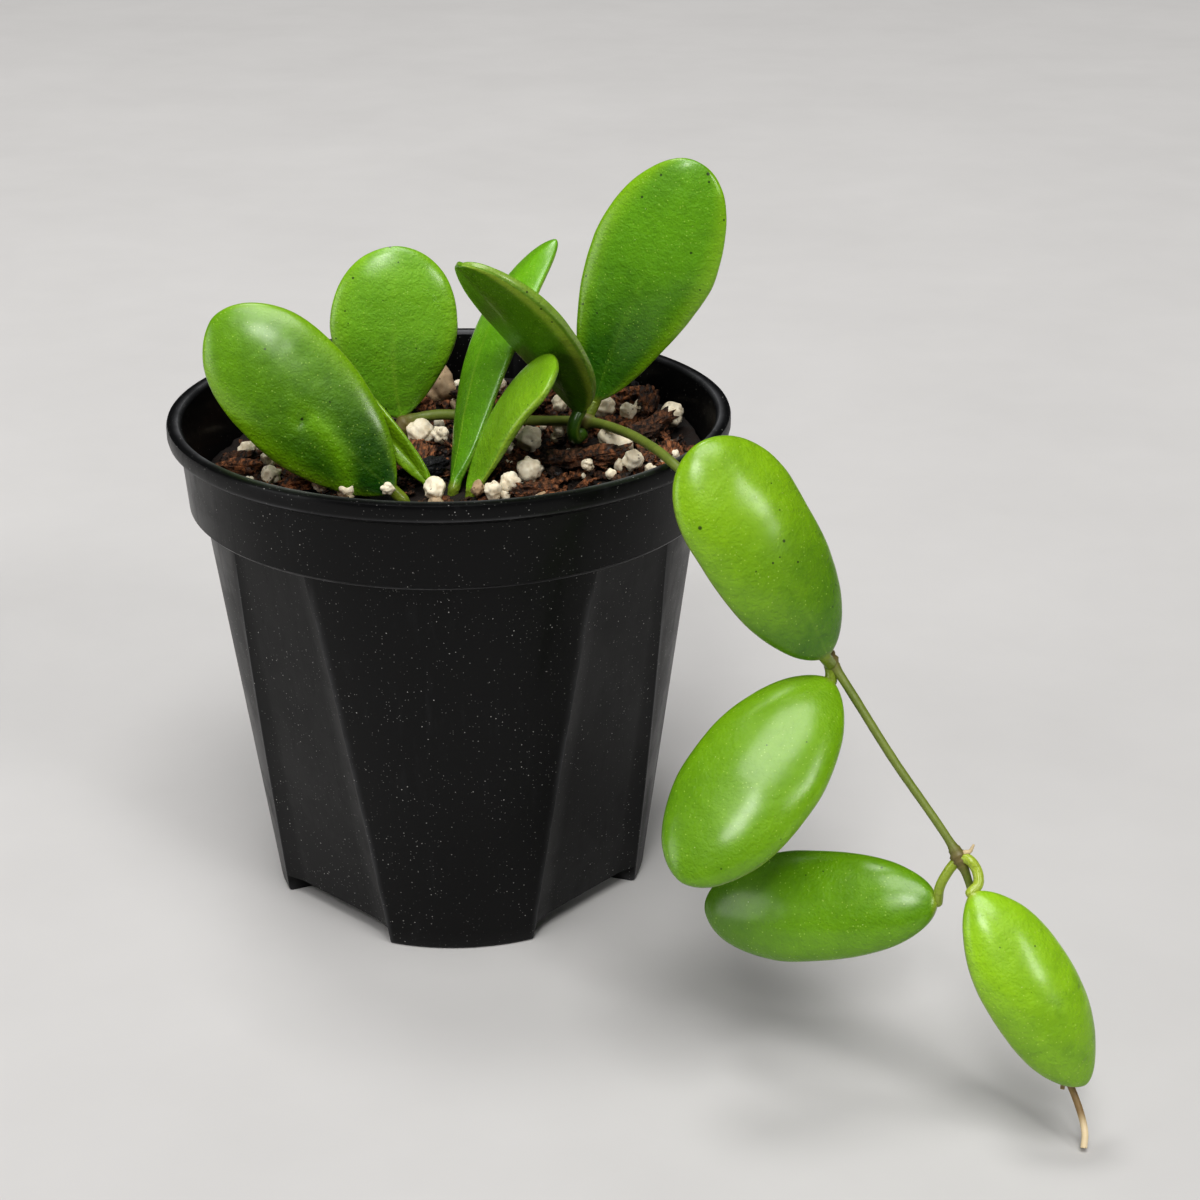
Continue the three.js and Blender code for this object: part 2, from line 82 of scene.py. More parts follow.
def make_camera():
    """The camera, as it stood for the picture."""
    lens = bpy.data.cameras.new("camera")
    lens.lens = LENS
    lens.sensor_width = SENSOR
    lens.clip_start, lens.clip_end = 0.02, 30
    camera = bpy.data.objects.new("camera", lens)
    camera.location = to_row(CAMERA)
    camera.rotation_euler = (math.pi / 2 - PITCH, 0, 0)
    bpy.context.scene.collection.objects.link(camera)
    bpy.context.scene.camera = camera


# ------------------------------------------------------------------ node trees


class Tree:
    """Short calls for wiring one node tree. A value is a socket to link or a plain number."""

    def __init__(self, tree):
        self.tree = tree

    def node(self, kind, inputs=None, **settings):
        """A node with its settings, and its inputs by name or number."""
        made = self.tree.nodes.new(kind)
        for name, value in settings.items():
            setattr(made, name, value)
        for key, value in (inputs or {}).items():
            self.feed(made.inputs[key], value)
        return made

    def feed(self, socket, value):
        """Links a socket to an input, or sets the input to a value."""
        if isinstance(value, bpy.types.NodeSocket):
            self.tree.links.new(value, socket)
        else:
            socket.default_value = value

    def math(self, operation, first, second=0.0, third=0.0, clamp=False):
        sums = {0: first, 1: second, 2: third}
        return self.node("ShaderNodeMath", sums, operation=operation, use_clamp=clamp).outputs[0]

    def vector(self, operation, first, second=(0, 0, 0)):
        made = self.node("ShaderNodeVectorMath", {0: first, 1: second}, operation=operation)
        return made.outputs["Value" if operation in ("LENGTH", "DISTANCE") else "Vector"]

    def fade(self, value, low, high, start=0.0, end=1.0):
        """value between low and high, eased to between start and end."""
        inputs = {"Value": value, "From Min": low, "From Max": high, "To Min": start, "To Max": end}
        return self.node("ShaderNodeMapRange", inputs,
                         interpolation_type="SMOOTHSTEP").outputs["Result"]

    def noise(self, place, scale, detail=2.0, roughness=0.5, distortion=0.0):
        """Cloudy noise about one half."""
        inputs = {"Vector": place, "Scale": scale, "Detail": detail, "Roughness": roughness,
                  "Distortion": distortion}
        return self.node("ShaderNodeTexNoise", inputs).outputs["Fac"]

    def cells(self, place, scale, feature="F1"):
        return self.node("ShaderNodeTexVoronoi", {"Vector": place, "Scale": scale},
                         feature=feature)

    def blend(self, share, first, second, way="MIX"):
        """Two colours mixed."""
        made = self.node("ShaderNodeMix", data_type="RGBA", blend_type=way)
        for socket, value in zip((0, 6, 7), (share, first, second)):
            self.feed(made.inputs[socket], value)
        return made.outputs[2]

    def bump(self, height, strength, distance, normal=None):
        inputs = {"Height": height, "Strength": strength, "Distance": distance}
        if normal is not None:
            inputs["Normal"] = normal
        return self.node("ShaderNodeBump", inputs).outputs["Normal"]

    def group(self, shared, **values):
        """A shared node group, placed here with its own values."""
        made = self.node("ShaderNodeGroup", node_tree=shared)
        for name, value in values.items():
            self.feed(made.inputs[name.replace("_", " ")], value)
        return made.outputs[0]

    def place(self):
        """The place on the piece, in metres."""
        return self.node("ShaderNodeTexCoord").outputs["Object"]

    def attribute(self, name):
        """A value that the mesh carries."""
        return self.node("ShaderNodeAttribute", attribute_name=name).outputs["Fac"]


def shared_group(name, inputs, output, build):
    """A shader node group with named inputs and one output, wired by build(tree, sockets)."""
    made = bpy.data.node_groups.new(name, "ShaderNodeTree")
    for label, kind, default in inputs:
        socket = made.interface.new_socket(label, in_out="INPUT", socket_type="NodeSocket" + kind)
        socket.default_value = default
    made.interface.new_socket(output, in_out="OUTPUT", socket_type="NodeSocketFloat")
    tree = Tree(made)
    given = tree.node("NodeGroupInput").outputs
    result = build(tree, given)
    tree.feed(tree.node("NodeGroupOutput").inputs[0], result)
    return made


def build_specks(tree, given):
    """Round dots, in some of the cells of a lattice."""
    cells = tree.cells(given["Place"], given["Scale"])
    dot = tree.fade(cells.outputs["Distance"], given["Size"], tree.math(
        "MULTIPLY", given["Size"], 0.6), 0.0, 1.0)
    chosen = tree.math("LESS_THAN", tree.node(
        "ShaderNodeSeparateColor", {"Color": cells.outputs["Color"]}).outputs[0], given["Share"])
    return tree.math("MULTIPLY", dot, chosen)


def build_mottle(tree, given):
    """Soft patches with smaller ones in them, spread about one half."""
    wide = tree.noise(given["Place"], given["Scale"], 2.0, 0.5)
    fine = tree.noise(given["Place"], tree.math("MULTIPLY", given["Scale"], 4.3), 3.0, 0.6)
    both = tree.math("MULTIPLY_ADD", fine, 0.35, tree.math("MULTIPLY", wide, 0.65))
    off = tree.math("SUBTRACT", both, 0.5)
    return tree.math("MULTIPLY_ADD", off, given["Contrast"], 0.5, clamp=True)


def build_wax(tree, given):
    """The fine wavy relief of a waxy skin."""
    swirl = tree.noise(given["Place"], given["Scale"], 3.0, 0.55, 0.6)
    cells = tree.cells(given["Place"], tree.math("MULTIPLY", given["Scale"], 1.7), "SMOOTH_F1")
    return tree.math("MULTIPLY_ADD", cells.outputs["Distance"], 0.45, swirl)


def build_streaks(tree, given):
    """Noise drawn out along one direction, for grain, fibres and smears."""
    drawn = tree.node("ShaderNodeVectorMath", {0: given["Place"], 1: given["Stretch"]},
                      operation="MULTIPLY").outputs["Vector"]
    return tree.noise(drawn, given["Scale"], 4.0, 0.6, 0.3)


def build_spot(tree, given):
    """One soft round spot."""
    away = tree.vector("DISTANCE", given["Place"], given["Centre"])
    return tree.fade(away, given["Size"], tree.math("MULTIPLY", given["Size"], 0.45), 0.0, 1.0)


PLACE = ("Place", "Vector", (0, 0, 0))
SPECKS = shared_group("specks", [PLACE, ("Scale", "Float", 500.0), ("Size", "Float", 0.2),
                                 ("Share", "Float", 0.2)], "Mask", build_specks)
MOTTLE = shared_group("mottle", [PLACE, ("Scale", "Float", 60.0), ("Contrast", "Float", 2.0)],
                      "Value", build_mottle)
WAX = shared_group("wax relief", [PLACE, ("Scale", "Float", 900.0)], "Height", build_wax)
STREAKS = shared_group("streaks", [PLACE, ("Stretch", "Vector", (1, 1, 1)),
                                   ("Scale", "Float", 300.0)], "Value", build_streaks)
SPOT = shared_group("spot", [PLACE, ("Centre", "Vector", (0, 0, 0)), ("Size", "Float", 0.001)],
                    "Mask", build_spot)


def colour(red, green, blue):
    """A colour read off a screen, 0 to 255, as the shader wants it."""
    linear = [((c / 255 + 0.055) / 1.055) ** 2.4 if c > 10 else c / 255 / 12.92
              for c in (red, green, blue)]
    return (*linear, 1.0)


def finish_material(name, build, **constants):
    """A material whose Principled shader gets what varies from build and the rest as numbers."""
    made = bpy.data.materials.new(name)
    made.use_nodes = True
    made.node_tree.nodes.clear()
    tree = Tree(made.node_tree)
    shader = tree.node("ShaderNodeBsdfPrincipled")
    for socket, value in constants.items():
        shader.inputs[socket.replace("_", " ")].default_value = value
    for socket, value in build(tree).items():
        tree.feed(shader.inputs[socket], value)
    tree.feed(tree.node("ShaderNodeOutputMaterial").inputs["Surface"], shader.outputs[0])
    return made


# ------------------------------------------------------------------ meshes


def make_piece(name, points, faces, material, node=None, marks=None, smooth=True):
    """A mesh object of the plant, from points in millimetres about the pot's axis."""
    mesh = bpy.data.meshes.new(name)
    mesh.from_pydata(to_row(points).tolist(), [], [list(map(int, f)) for f in faces])
    for mark, values in (marks or {}).items():
        attribute = mesh.attributes.new(mark, "FLOAT", "POINT")
        attribute.data.foreach_set("value", np.asarray(values, np.float32))
    mesh.polygons.foreach_set("use_smooth", [smooth] * len(mesh.polygons))
    mesh.materials.append(material)
    mesh.update()
    made = bpy.data.objects.new(name, mesh)
    bpy.context.scene.collection.objects.link(made)
    return settle(made, node)


def settle(made, node=None):
    """Fixes a finished piece to the body that it rides on, and hides the model part that it stands for."""
    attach(made, BODY)
    if node:
        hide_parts(node)
    return made


def ring_faces(rings, sides, first_pole, last_pole):
    """Faces of a skin through rings of points, closed on a pole at each end."""
    faces = []
    for i in range(rings):
        for k in range(sides):
            a, b = i * sides + k, i * sides + (k + 1) % sides
            if i == 0:
                faces.append((first_pole, b, a))
            if i < rings - 1:
                faces.append((a, b, b + sides, a + sides))
            else:
                faces.append((a, b, last_pole))
    return faces


def outward(points, faces):
    """The faces turned right side out, by the sign of the volume that they hold."""
    volume = sum(np.dot(points[f[0]], np.cross(points[f[i]], points[f[i + 1]]))
                 for f in faces for i in range(1, len(f) - 1))
    return faces if volume > 0 else [tuple(reversed(f)) for f in faces]


def closed_skin(rings, first, last):
    """Points and faces of a skin through rings of points, closed on a point at each end."""
    points = np.array([*np.concatenate(rings), first, last])
    end = len(points) - 1
    return points, outward(points, ring_faces(len(rings), len(rings[0]), end - 1, end))


def unit(vector):
    """The same direction, one long."""
    return vector / np.linalg.norm(vector)


def smooth_route(points, steps):
    """Points at even distances along a centripetal Catmull-Rom curve, steps + 1 of them."""
    p = np.array([2 * np.array(points[0]) - points[1], *points,
                  2 * np.array(points[-1]) - points[-2]], float)
    knots = np.sqrt(np.linalg.norm(np.diff(p, axis=0), axis=1))
    dense = []
    for i in range(1, len(p) - 2):
        before, here, after = knots[i - 1:i + 2]
        leave = here * ((p[i] - p[i - 1]) / before - (p[i + 1] - p[i - 1]) / (before + here)
                        + (p[i + 1] - p[i]) / here)
        arrive = here * ((p[i + 1] - p[i]) / here - (p[i + 2] - p[i]) / (here + after)
                         + (p[i + 2] - p[i + 1]) / after)
        t = np.linspace(0, 1, 24, endpoint=False)[:, None]
        dense.extend((2 * t**3 - 3 * t**2 + 1) * p[i] + (t**3 - 2 * t**2 + t) * leave
                     + (3 * t**2 - 2 * t**3) * p[i + 1] + (t**3 - t**2) * arrive)
    dense = np.array([*dense, p[-2]])
    run = np.concatenate([[0], np.cumsum(np.linalg.norm(np.diff(dense, axis=0), axis=1))])
    at = np.linspace(0, run[-1], steps + 1)
    return np.stack([np.interp(at, run, dense[:, axis]) for axis in range(3)], 1)


def tube(route, radii, sides):
    """Points and faces of a round rod along a route, one radius at each point of the route."""
    tangents = np.gradient(route, axis=0)
    normal = unit(np.cross(tangents[0], [0.3, 1, 0.2]))
    turns = np.linspace(0, 2 * math.pi, sides, endpoint=False)
    rings = []
    for centre, tangent, radius in zip(route, tangents, radii):
        tangent = unit(tangent)
        normal = unit(normal - np.dot(normal, tangent) * tangent)
        side = np.cross(tangent, normal)
        rim = np.outer(np.cos(turns), normal) + np.outer(np.sin(turns), side)
        rings.append(centre + rim * radius)
    return closed_skin(rings, route[0], route[-1])


def ripple(points, size, seed):
    """Smooth noise at each point, about -1 to 1, with lumps of this size."""
    shift = Vector((seed * 7.3, seed * 3.1, seed * 5.7))
    return np.array([noise.noise(Vector(p / size) + shift) for p in points])


def vertex_normals(points, faces):
    """The outward direction at each point of a skin."""
    normals = np.zeros_like(points)
    for f in faces:
        corner = np.cross(points[f[1]] - points[f[0]], points[f[2]] - points[f[0]])
        if len(f) == 4:
            corner = corner + np.cross(points[f[2]] - points[f[0]], points[f[3]] - points[f[0]])
        for i in f:
            normals[i] += corner
    return normals / np.maximum(np.linalg.norm(normals, axis=1, keepdims=True), 1e-9)


# ------------------------------------------------------------------ nursery pot

POT = dict(height=109.3, rim=60.0, lip_foot=105.1, collar_top=57.4, collar_foot=56.4, collar_z=90.2,
           body_top=53.4, foot=42.0, panel_top=52.2, panel_foot=37.5, leg_half_top=33.3,
           leg_half_foot=21.5, panel_half_top=10.2, panel_half_foot=18.0, turn=3.0, wall=1.5,
           foot_height=4.0, base_top=6.0, pad_inner=27.5, edge=0.8)
# Rings of drain holes: how many, how far out, radius, and turn in degrees.
DRAINS = [(1, 0.0, 5.0, 0.0), (4, 16.0, 3.5, 0.0), (4, 29.0, 4.0, 45.0)]
DRAIN_SIDES = 32
BEVEL = 0.35                    # how round the pot's edges are
LEG_STEPS, PANEL_STEPS = 26, 14
SEAM = 0.12                     # a row of points this far down each leg's side wall, beside its edge


def lerp(a, b, t):
    """The value that is a share t of the way from a to b."""
    return a + (b - a) * t


def stations(t):
    """Angles round one ring of the pot, and what each point is on: leg, side or panel."""
    leg_half = math.radians(lerp(POT["leg_half_foot"], POT["leg_half_top"], t))
    panel_half = math.radians(lerp(POT["panel_half_foot"], POT["panel_half_top"], t))
    side = lerp(leg_half, math.pi / 4 - panel_half, SEAM)
    for quarter in range(4):
        middle = math.radians(POT["turn"] - 90 + 90 * quarter)
        yield middle - side, "side", None
        for i in range(LEG_STEPS + 1):
            yield middle + leg_half * (2 * i / LEG_STEPS - 1), "leg", None
        yield middle + side, "side", None
        for i in range(PANEL_STEPS + 1):
            off = panel_half * (2 * i / PANEL_STEPS - 1)
            yield middle + math.pi / 4 + off, "panel", off


def body_ring(z, inset=0.0, raised=None):
    """A ring of the tapered body. raised lifts all but the legs, for the base between the feet."""
    t = min(max(z / POT["collar_z"], 0), 1)
    leg = lerp(POT["foot"], POT["body_top"], t)
    panel = lerp(POT["panel_foot"], POT["panel_top"], t)
    panel_edge = panel / math.cos(math.radians(lerp(POT["panel_half_foot"],
                                                    POT["panel_half_top"], t)))
    radius = {"leg": lambda off: leg, "side": lambda off: lerp(leg, min(leg, panel_edge), SEAM),
              "panel": lambda off: min(leg, panel / math.cos(off))}
    ring = []
    for angle, kind, off in stations(t):
        r = radius[kind](off) - inset
        height = z if raised is None or kind == "leg" else max(z, raised)
        ring.append((r * math.cos(angle), r * math.sin(angle), height))
    return ring


def round_ring(z, r, t=1.0, raised=None):
    """A circle with the points of body_ring. raised lifts all but the legs."""
    return [(r * math.cos(angle), r * math.sin(angle),
             z if raised is None or kind == "leg" else raised)
            for angle, kind, _ in stations(t)]


def pot_rings():
    """Rings from the middle of the underside, up the outside, over the lip and down inside."""
    p, edge = POT, POT["edge"]
    between = p["foot_height"]
    under = [round_ring(between, r, 0.0) for r in (9, 20, p["pad_inner"] - 0.1)]
    pads = [round_ring(0, r, 0.0, between) for r in (p["pad_inner"], 31, 34)]
    foot = [body_ring(0, edge, between), body_ring(edge * 0.3, edge * 0.3, between),
            body_ring(edge, 0, between + 0.01)]
    levels = [between + 0.3, 6, *range(10, 90, 8)]
    body = [body_ring(z) for z in levels] + [body_ring(p["collar_z"])]
    lip = [(p["collar_z"], p["collar_foot"] - edge), (p["collar_z"] + edge, p["collar_foot"]),
           (p["lip_foot"] - edge, p["collar_top"]), (p["lip_foot"], p["collar_top"] + edge),
           (p["lip_foot"] + edge, p["rim"] - edge / 4), (p["lip_foot"] + 2 * edge, p["rim"]),
           (p["height"] - edge, p["rim"]), (p["height"] - edge / 4, p["rim"] - edge / 4),
           (p["height"], p["rim"] - edge), (p["height"], p["rim"] - 3 * edge),
           (p["height"] - edge, p["rim"] - 4 * edge),
           (p["lip_foot"] - 0.6, p["collar_top"] - p["wall"]),
           (p["collar_z"] + 2.2, p["collar_foot"] - p["wall"] + 0.1)]
    inside = [body_ring(p["collar_z"] + 1, p["wall"]), body_ring(p["base_top"] + 2, p["wall"]),
              body_ring(p["base_top"], 2 * p["wall"])]
    return under + pads + foot + body + [round_ring(z, r) for z, r in lip] + inside


def make_pot():
    """The pot: body, legs, panels, collar and lip in one skin, its base drilled, its edges rounded."""
    rings = pot_rings()
    sides = len(rings[0])
    points, faces = closed_skin(rings, (0, 0, POT["foot_height"]), (0, 0, POT["base_top"]))
    # The edge mark carries the painted highlight lines along the pot's edges.
    edge = np.array([edge_highlight(q, k % (sides // 4)) for ring in rings for k, q in enumerate(ring)])
    pot = make_piece("pot", points, faces, pot_plastic(), "nursery_pot",
                     {"edge": [*edge, 0.0, 0.0]})
    drill(pot)
    bevel = pot.modifiers.new("rounded edges", "BEVEL")
    bevel.width = BEVEL * MM
    bevel.segments = 2
    bevel.limit_method = "ANGLE"
    bevel.angle_limit = math.radians(24)
    bevel.harden_normals = True
    bake_modifiers(pot)
    return pot


def edge_highlight(point, column):
    """How much a point of the pot is on an edge with a painted highlight line, from 0 to 1."""
    radius, z = math.hypot(point[0], point[1]), point[2]
    # Painted highlight lines: the rim's inner edge, the lip's lower edge and the collar's foot; the legs'
    # edges below.
    painted_highlight = [(POT["height"], POT["rim"] - 3 * POT["edge"], 1.0),
              (POT["lip_foot"] + POT["edge"], POT["rim"] - POT["edge"] / 4, 0.85),
              (POT["collar_z"], POT["collar_foot"] - POT["edge"], 1.0)]
    for height, out, share in painted_highlight:
        if abs(z - height) < 0.01 and abs(radius - out) < 0.01:
            return share
    on_leg_edge = column in (1, 1 + LEG_STEPS) and z < POT["collar_z"] and radius > POT["foot"] - 1
    return 0.7 if on_leg_edge else 0.0


def drill(pot):
    """Cuts the drain holes through the base."""
    cutters = []
    for count, out, radius, start in DRAINS:
        for quarter in range(count):
            angle = math.radians(POT["turn"] - 90 + start + 90 * quarter)
            turns = np.linspace(0, 2 * math.pi, DRAIN_SIDES, endpoint=False)
            circle = np.stack([out * math.cos(angle) + radius * np.cos(turns),
                               out * math.sin(angle) + radius * np.sin(turns)], 1)
            cutters.append(circle)
    points, faces = [], []
    for circle in cutters:
        start = len(points)
        n = len(circle)
        for z in (POT["foot_height"] - 1, POT["base_top"] + 1):
            points.extend((x, y, z) for x, y in circle)
        faces.append([start + i for i in reversed(range(n))])
        faces.append([start + n + i for i in range(n)])
        faces.extend([start + i, start + (i + 1) % n, start + n + (i + 1) % n, start + n + i]
                     for i in range(n))
    mesh = bpy.data.meshes.new("drill")
    mesh.from_pydata(to_row(points).tolist(), [], faces)
    cutter = bpy.data.objects.new("drill", mesh)
    bpy.context.scene.collection.objects.link(cutter)
    cut = pot.modifiers.new("drain holes", "BOOLEAN")
    cut.object = cutter
    cut.solver = "EXACT"
    bake_modifiers(pot)
    bpy.data.objects.remove(cutter)


def bake_modifiers(made):
    """Puts the result of a piece's modifiers into its mesh."""
    bpy.context.view_layer.update()
    shape = bpy.data.meshes.new_from_object(made.evaluated_get(
        bpy.context.evaluated_depsgraph_get()))
    made.modifiers.clear()
    made.data = shape


def pot_plastic():
    """Satin black plastic, hazed in patches, with dust and grit, and painted highlight lines along its
    edges.
    """
    def build(tree):
        place = tree.place()
        dust = tree.group(SPECKS, Place=place, Scale=800.0, Size=0.13, Share=0.35)
        grit = tree.group(SPECKS, Place=place, Scale=1500.0, Size=0.2, Share=0.4)
        patches = tree.group(MOTTLE, Place=place, Scale=45.0, Contrast=3.0)
        smears = tree.group(STREAKS, Place=place, Stretch=(9.0, 9.0, 0.6), Scale=45.0)
        smeared = tree.fade(smears, 0.5, 0.72)
        haze = tree.math("MULTIPLY", smeared, tree.fade(patches, 0.35, 0.8))
        black = tree.blend(haze, colour(9, 9, 10), colour(22, 22, 23))
        speckled = tree.math("MAXIMUM", dust, tree.math("MULTIPLY", grit, 0.4))
        dusty = tree.math("MULTIPLY", speckled, tree.fade(patches, 0.25, 0.75, 0.3, 1.0))
        # Painted highlight: thin light lines along the pot's edges, picked out by the edge mark.
        painted_highlight = tree.math("POWER", tree.attribute("edge"), 2.0)
        painted_highlight = tree.math("MULTIPLY", painted_highlight, tree.fade(patches, 0.1, 0.7, 0.35, 0.8))
        black = tree.blend(painted_highlight, black, colour(104, 104, 106))
        base = tree.blend(tree.math("MULTIPLY", dusty, 0.8), black, colour(190, 188, 184))
        rough = tree.fade(patches, 0.2, 0.8, 0.33, 0.45)
        rough = tree.math("MULTIPLY_ADD", smeared, 0.08, rough)
        skin = tree.noise(place, 2600.0, 2.0)
        height = tree.math("MULTIPLY_ADD", dusty, 1.5, skin)
        return {"Base Color": base, "Roughness": rough,
                "Normal": tree.bump(height, 0.22, 0.00006)}

    return finish_material("black pot plastic", build, Specular_IOR_Level=0.2,
                           Coat_Weight=0.1, Coat_Roughness=0.12)


# ------------------------------------------------------------------ leaves

NODE_A = (-11.5, 13.5, 100.5)
NODE_B = (29, 4, 104.5)
NODE_C = (75.5, -69.5, 82)
NODE_D = (99, -91, 51)
BELOW = 92.5                    # how deep the rooted stalks reach

# Each leaf as in the frame: where its blade starts and ends, which way its upper face looks, its
# width, where it is widest, how full and how pointed its foot and its tip are, how the midrib bows
# and sways, how its edges droop and fold, its twist, thickness and stalk. Then its looks: colours
# of the lit and the shaded parts, which with random patches paint light and shade onto it, how
# much the foot is painted in shade, or the tip if negative, and how strongly the midrib shows. Some
# have more: section, how square the blade's rim is; under, how much its back is painted darker as
# shade; glow, how much lighter its edges are painted, as light shining through them; ridge, a
# painted highlight line along one edge, as side, height and strength, with a band above it
# painted lighter as the lit upper face; neck, the colour where it meets the stalk.
LEAVES = [
    dict(name="leaf_left_broad", base=(-10.8, -19, 96.9), tip=(-48.1, -8, 131),
         face=(0, -0.95, 0.33), width=26.8, widest=0.59, shape=(2.1, 0.73, 2.35, 0.55), bow=(2.5, 2.5),
         sway=(-0.8, 1.3), droop=1.5, thick=4, stalk=1.3,
         path=[(-8.5, -19.5, BELOW), (-9, -19.3, 95)],
         lit=(112, 162, 12), deep=(25, 71, 3), foot=0.8, rib=0.1, glow=0.4),
    dict(name="leaf_left_round", base=(-11.9, 15, 101.8), tip=(-12.6, 22, 138.6),
         face=(0.06, -0.98, 0.18), width=27.8, widest=0.54, shape=(1.6, 0.63, 2.2, 0.49), bow=(2.5, 2.5),
         sway=(-3, 0.1), droop=1.2, thick=3.6, stalk=1.2, path=[NODE_A],
         lit=(130, 184, 42), deep=(58, 116, 18), foot=0.3, rib=0.35, glow=0.3),
    dict(name="leaf_left_tucked", base=(-3.1, -15.7, 96.7), tip=(-23.3, -1, 118.5),
         face=(-0.5, -0.6, 0.45), width=7, widest=0.58, shape=(1.87, 0.66, 2.09, 0.54), bow=(2, 2),
         sway=(1.5, -1.2), droop=0, fold=1.6, thick=2.6, stalk=1.3,
         path=[(-2, -15.7, BELOW), (-2.4, -15.7, 94.5)],
         lit=(138, 180, 20), deep=(59, 100, 11), foot=0.2, rib=0.3),
    dict(name="leaf_mid_tall", base=(1.3, -15.6, 96.3), tip=(22.7, 18.3, 141),
         face=(-0.65, -0.44, 0.62), width=15.2, widest=0.6, shape=(1.8, 0.78, 1.8, 0.58), bow=(2.2, 6),
         sway=(-3, -8.6), droop=0.3, fold=-1.3, twist=8, thick=2.6, stalk=1.2,
         path=[(1, -15.6, BELOW), (1, -15.6, 94.4)],
         lit=(116, 176, 24), deep=(34, 83, 8), foot=0.3, rib=0.6, section=0.7),
    dict(name="leaf_mid_short", base=(5.1, -17.9, 96.2), tip=(23.4, -17.6, 123.4),
         face=(-0.77, -0.27, 0.57), width=15.5, widest=0.69, shape=(1.8, 0.51, 3.4, 0.5), bow=(0.5, 3.5),
         sway=(-5.1, -5.5), droop=1, fold=0.6, twist=-9, thick=2.8, stalk=1.2,
         path=[(4.8, -18.4, BELOW), (4.8, -18.2, 94.3)],
         lit=(146, 194, 38), deep=(76, 128, 20), foot=0.3, rib=0.1, section=0.65,
         ridge=(1, 0.45, 0.6)),
    dict(name="leaf_mid_tilted", base=(27.8, 0.9, 108.1), tip=(4.3, -20.6, 145.7),
         face=(0.43, 0.65, 0.63), width=20.9, widest=0.58, shape=(1.8, 0.57, 1.8, 0.52), bow=(1.1, 1.3),
         sway=(-2.5, -1.6), droop=1, fold=2.8, twist=-4, thick=3.2, stalk=1.4,
         path=[(28.3, 2.6, 102.3), (26.9, 0.6, 101.9), (26.2, -0.8, 103.8), (26.6, -0.4, 106)],
         lit=(112, 162, 18), deep=(46, 92, 8), foot=0.2, rib=0.0, section=0.5, under=0.5,
         ridge=(-1, -0.8, 0.8), lit_band=0.6, neck=(40, 74, 10)),
    dict(name="leaf_right_upright", base=(31.1, 6, 108.6), tip=(52.5, 12, 159.3),
         face=(-0.14, -0.98, 0.17), width=27.7, widest=0.59, shape=(1.42, 0.64, 1.81, 0.47), bow=(1.5, 1.5),
         sway=(-2.1, 0.3), droop=1, thick=3.6, stalk=1.2, path=[NODE_B],
         lit=(112, 170, 20), deep=(42, 90, 5), foot=0.8, rib=0.1, glow=0.5),
    dict(name="leaf_trailing_first", base=(74.4, -72, 83.5), tip=(51, -64, 123.7),
         face=(0.2, -0.85, 0.5), width=24.1, widest=0.64, shape=(2.47, 0.56, 2.56, 0.49), bow=(4, 4),
         sway=(0.2, -1.7), droop=2, thick=5.5, stalk=1.2, path=[(75.7, -70.6, 81.4)],
         lit=(138, 182, 24), deep=(63, 110, 8), foot=0.7, rib=0.1),
    dict(name="leaf_trailing_second", base=(75.9, -71, 78), tip=(47, -96, 48.5),
         face=(-0.12, -0.7, 0.7), width=25.1, widest=0.51, shape=(2.14, 0.61, 2.26, 0.55), bow=(4, 4),
         sway=(0.6, 0.8), droop=2, thick=6, stalk=1.2,
         path=[(75.7, -69.9, 80.9), (76, -70.4, 79.5)],
         lit=(126, 172, 20), deep=(69, 114, 8), foot=-0.35, rib=0.15),
    dict(name="leaf_trailing_third", base=(95.6, -91, 41.4), tip=(52.9, -76, 31.1),
         face=(-0.41, -0.75, 0.52), width=21.2, widest=0.57, shape=(2.25, 0.52, 2.32, 0.53), bow=(3.5, 3.5),
         sway=(-0.2, -0.2), droop=2, thick=6, stalk=0.95,
         path=[NODE_D, (97.2, -91.2, 48.3), (95.8, -91.2, 44.9)],
         lit=(112, 160, 10), deep=(47, 93, 3), foot=-0.4, rib=0.12,
         neck=(158, 170, 62)),
    dict(name="leaf_trailing_fourth", base=(100.7, -96, 46.4), tip=(121.7, -110, 13.9),
         face=(0.18, -0.86, 0.48), width=18.6, widest=0.51, shape=(2.37, 0.67, 2.1, 0.59), bow=(3.5, 3.5),
         sway=(-1.1, 0.3), droop=2, thick=5.5, stalk=1,
         path=[NODE_D, (100.7, -92.2, 51.2), (102.1, -93.4, 49.5), (102.2, -94.8, 47.6)],
         lit=(152, 198, 34), deep=(52, 98, 8), foot=-0.4, rib=0.2,
         neck=(168, 178, 66)),
]
LEAF_SIDES, BLADE_STEPS, STALK_STEPS = 72, 90, 8
SHARP_BEND = math.radians(40)
UNDULATION = ((10.0, 0.24), (3.4, 0.045))       # lump size and depth of the blade's unevenness

# Dark dots, as pixels of the picture and radii in millimetres.
DOTS = {
    "leaf_right_upright": [(611, 197, 0.3), (661, 175, 0.35), (708, 174, 0.5), (709, 182, 0.35),
                           (724, 220, 0.3), (691, 253, 0.35), (589, 241, 0.3), (586, 276, 0.3),
                           (583, 304, 0.3), (597, 313, 0.3), (642, 197, 0.35), (700, 290, 0.25)],
    "leaf_left_round": [(390, 247, 0.4), (353, 278, 0.35), (345, 311, 0.25), (386, 409, 0.3)],
    "leaf_trailing_first": [(700, 528, 0.5), (784, 541, 0.4), (798, 562, 0.3), (773, 563, 0.3)],
    "leaf_mid_tilted": [(527, 292, 0.3), (541, 309, 0.35), (552, 322, 0.3)],
    "leaf_left_broad": [(265, 349, 0.3), (302, 419, 0.4), (330, 402, 0.25)],
}
# A dimple and the crease that runs from it, on the broad leaf at the left.
DIMPLE = (302, 420)
CREASE = [DIMPLE, (318, 425), (332, 440), (343, 462), (346, 480)]
CREASE_STEPS = 30
DIMPLE_DEPTH, DIMPLE_SIZE = 0.9, 1.4
CREASE_HEIGHT, CREASE_WIDTH = 0.5, 1.2


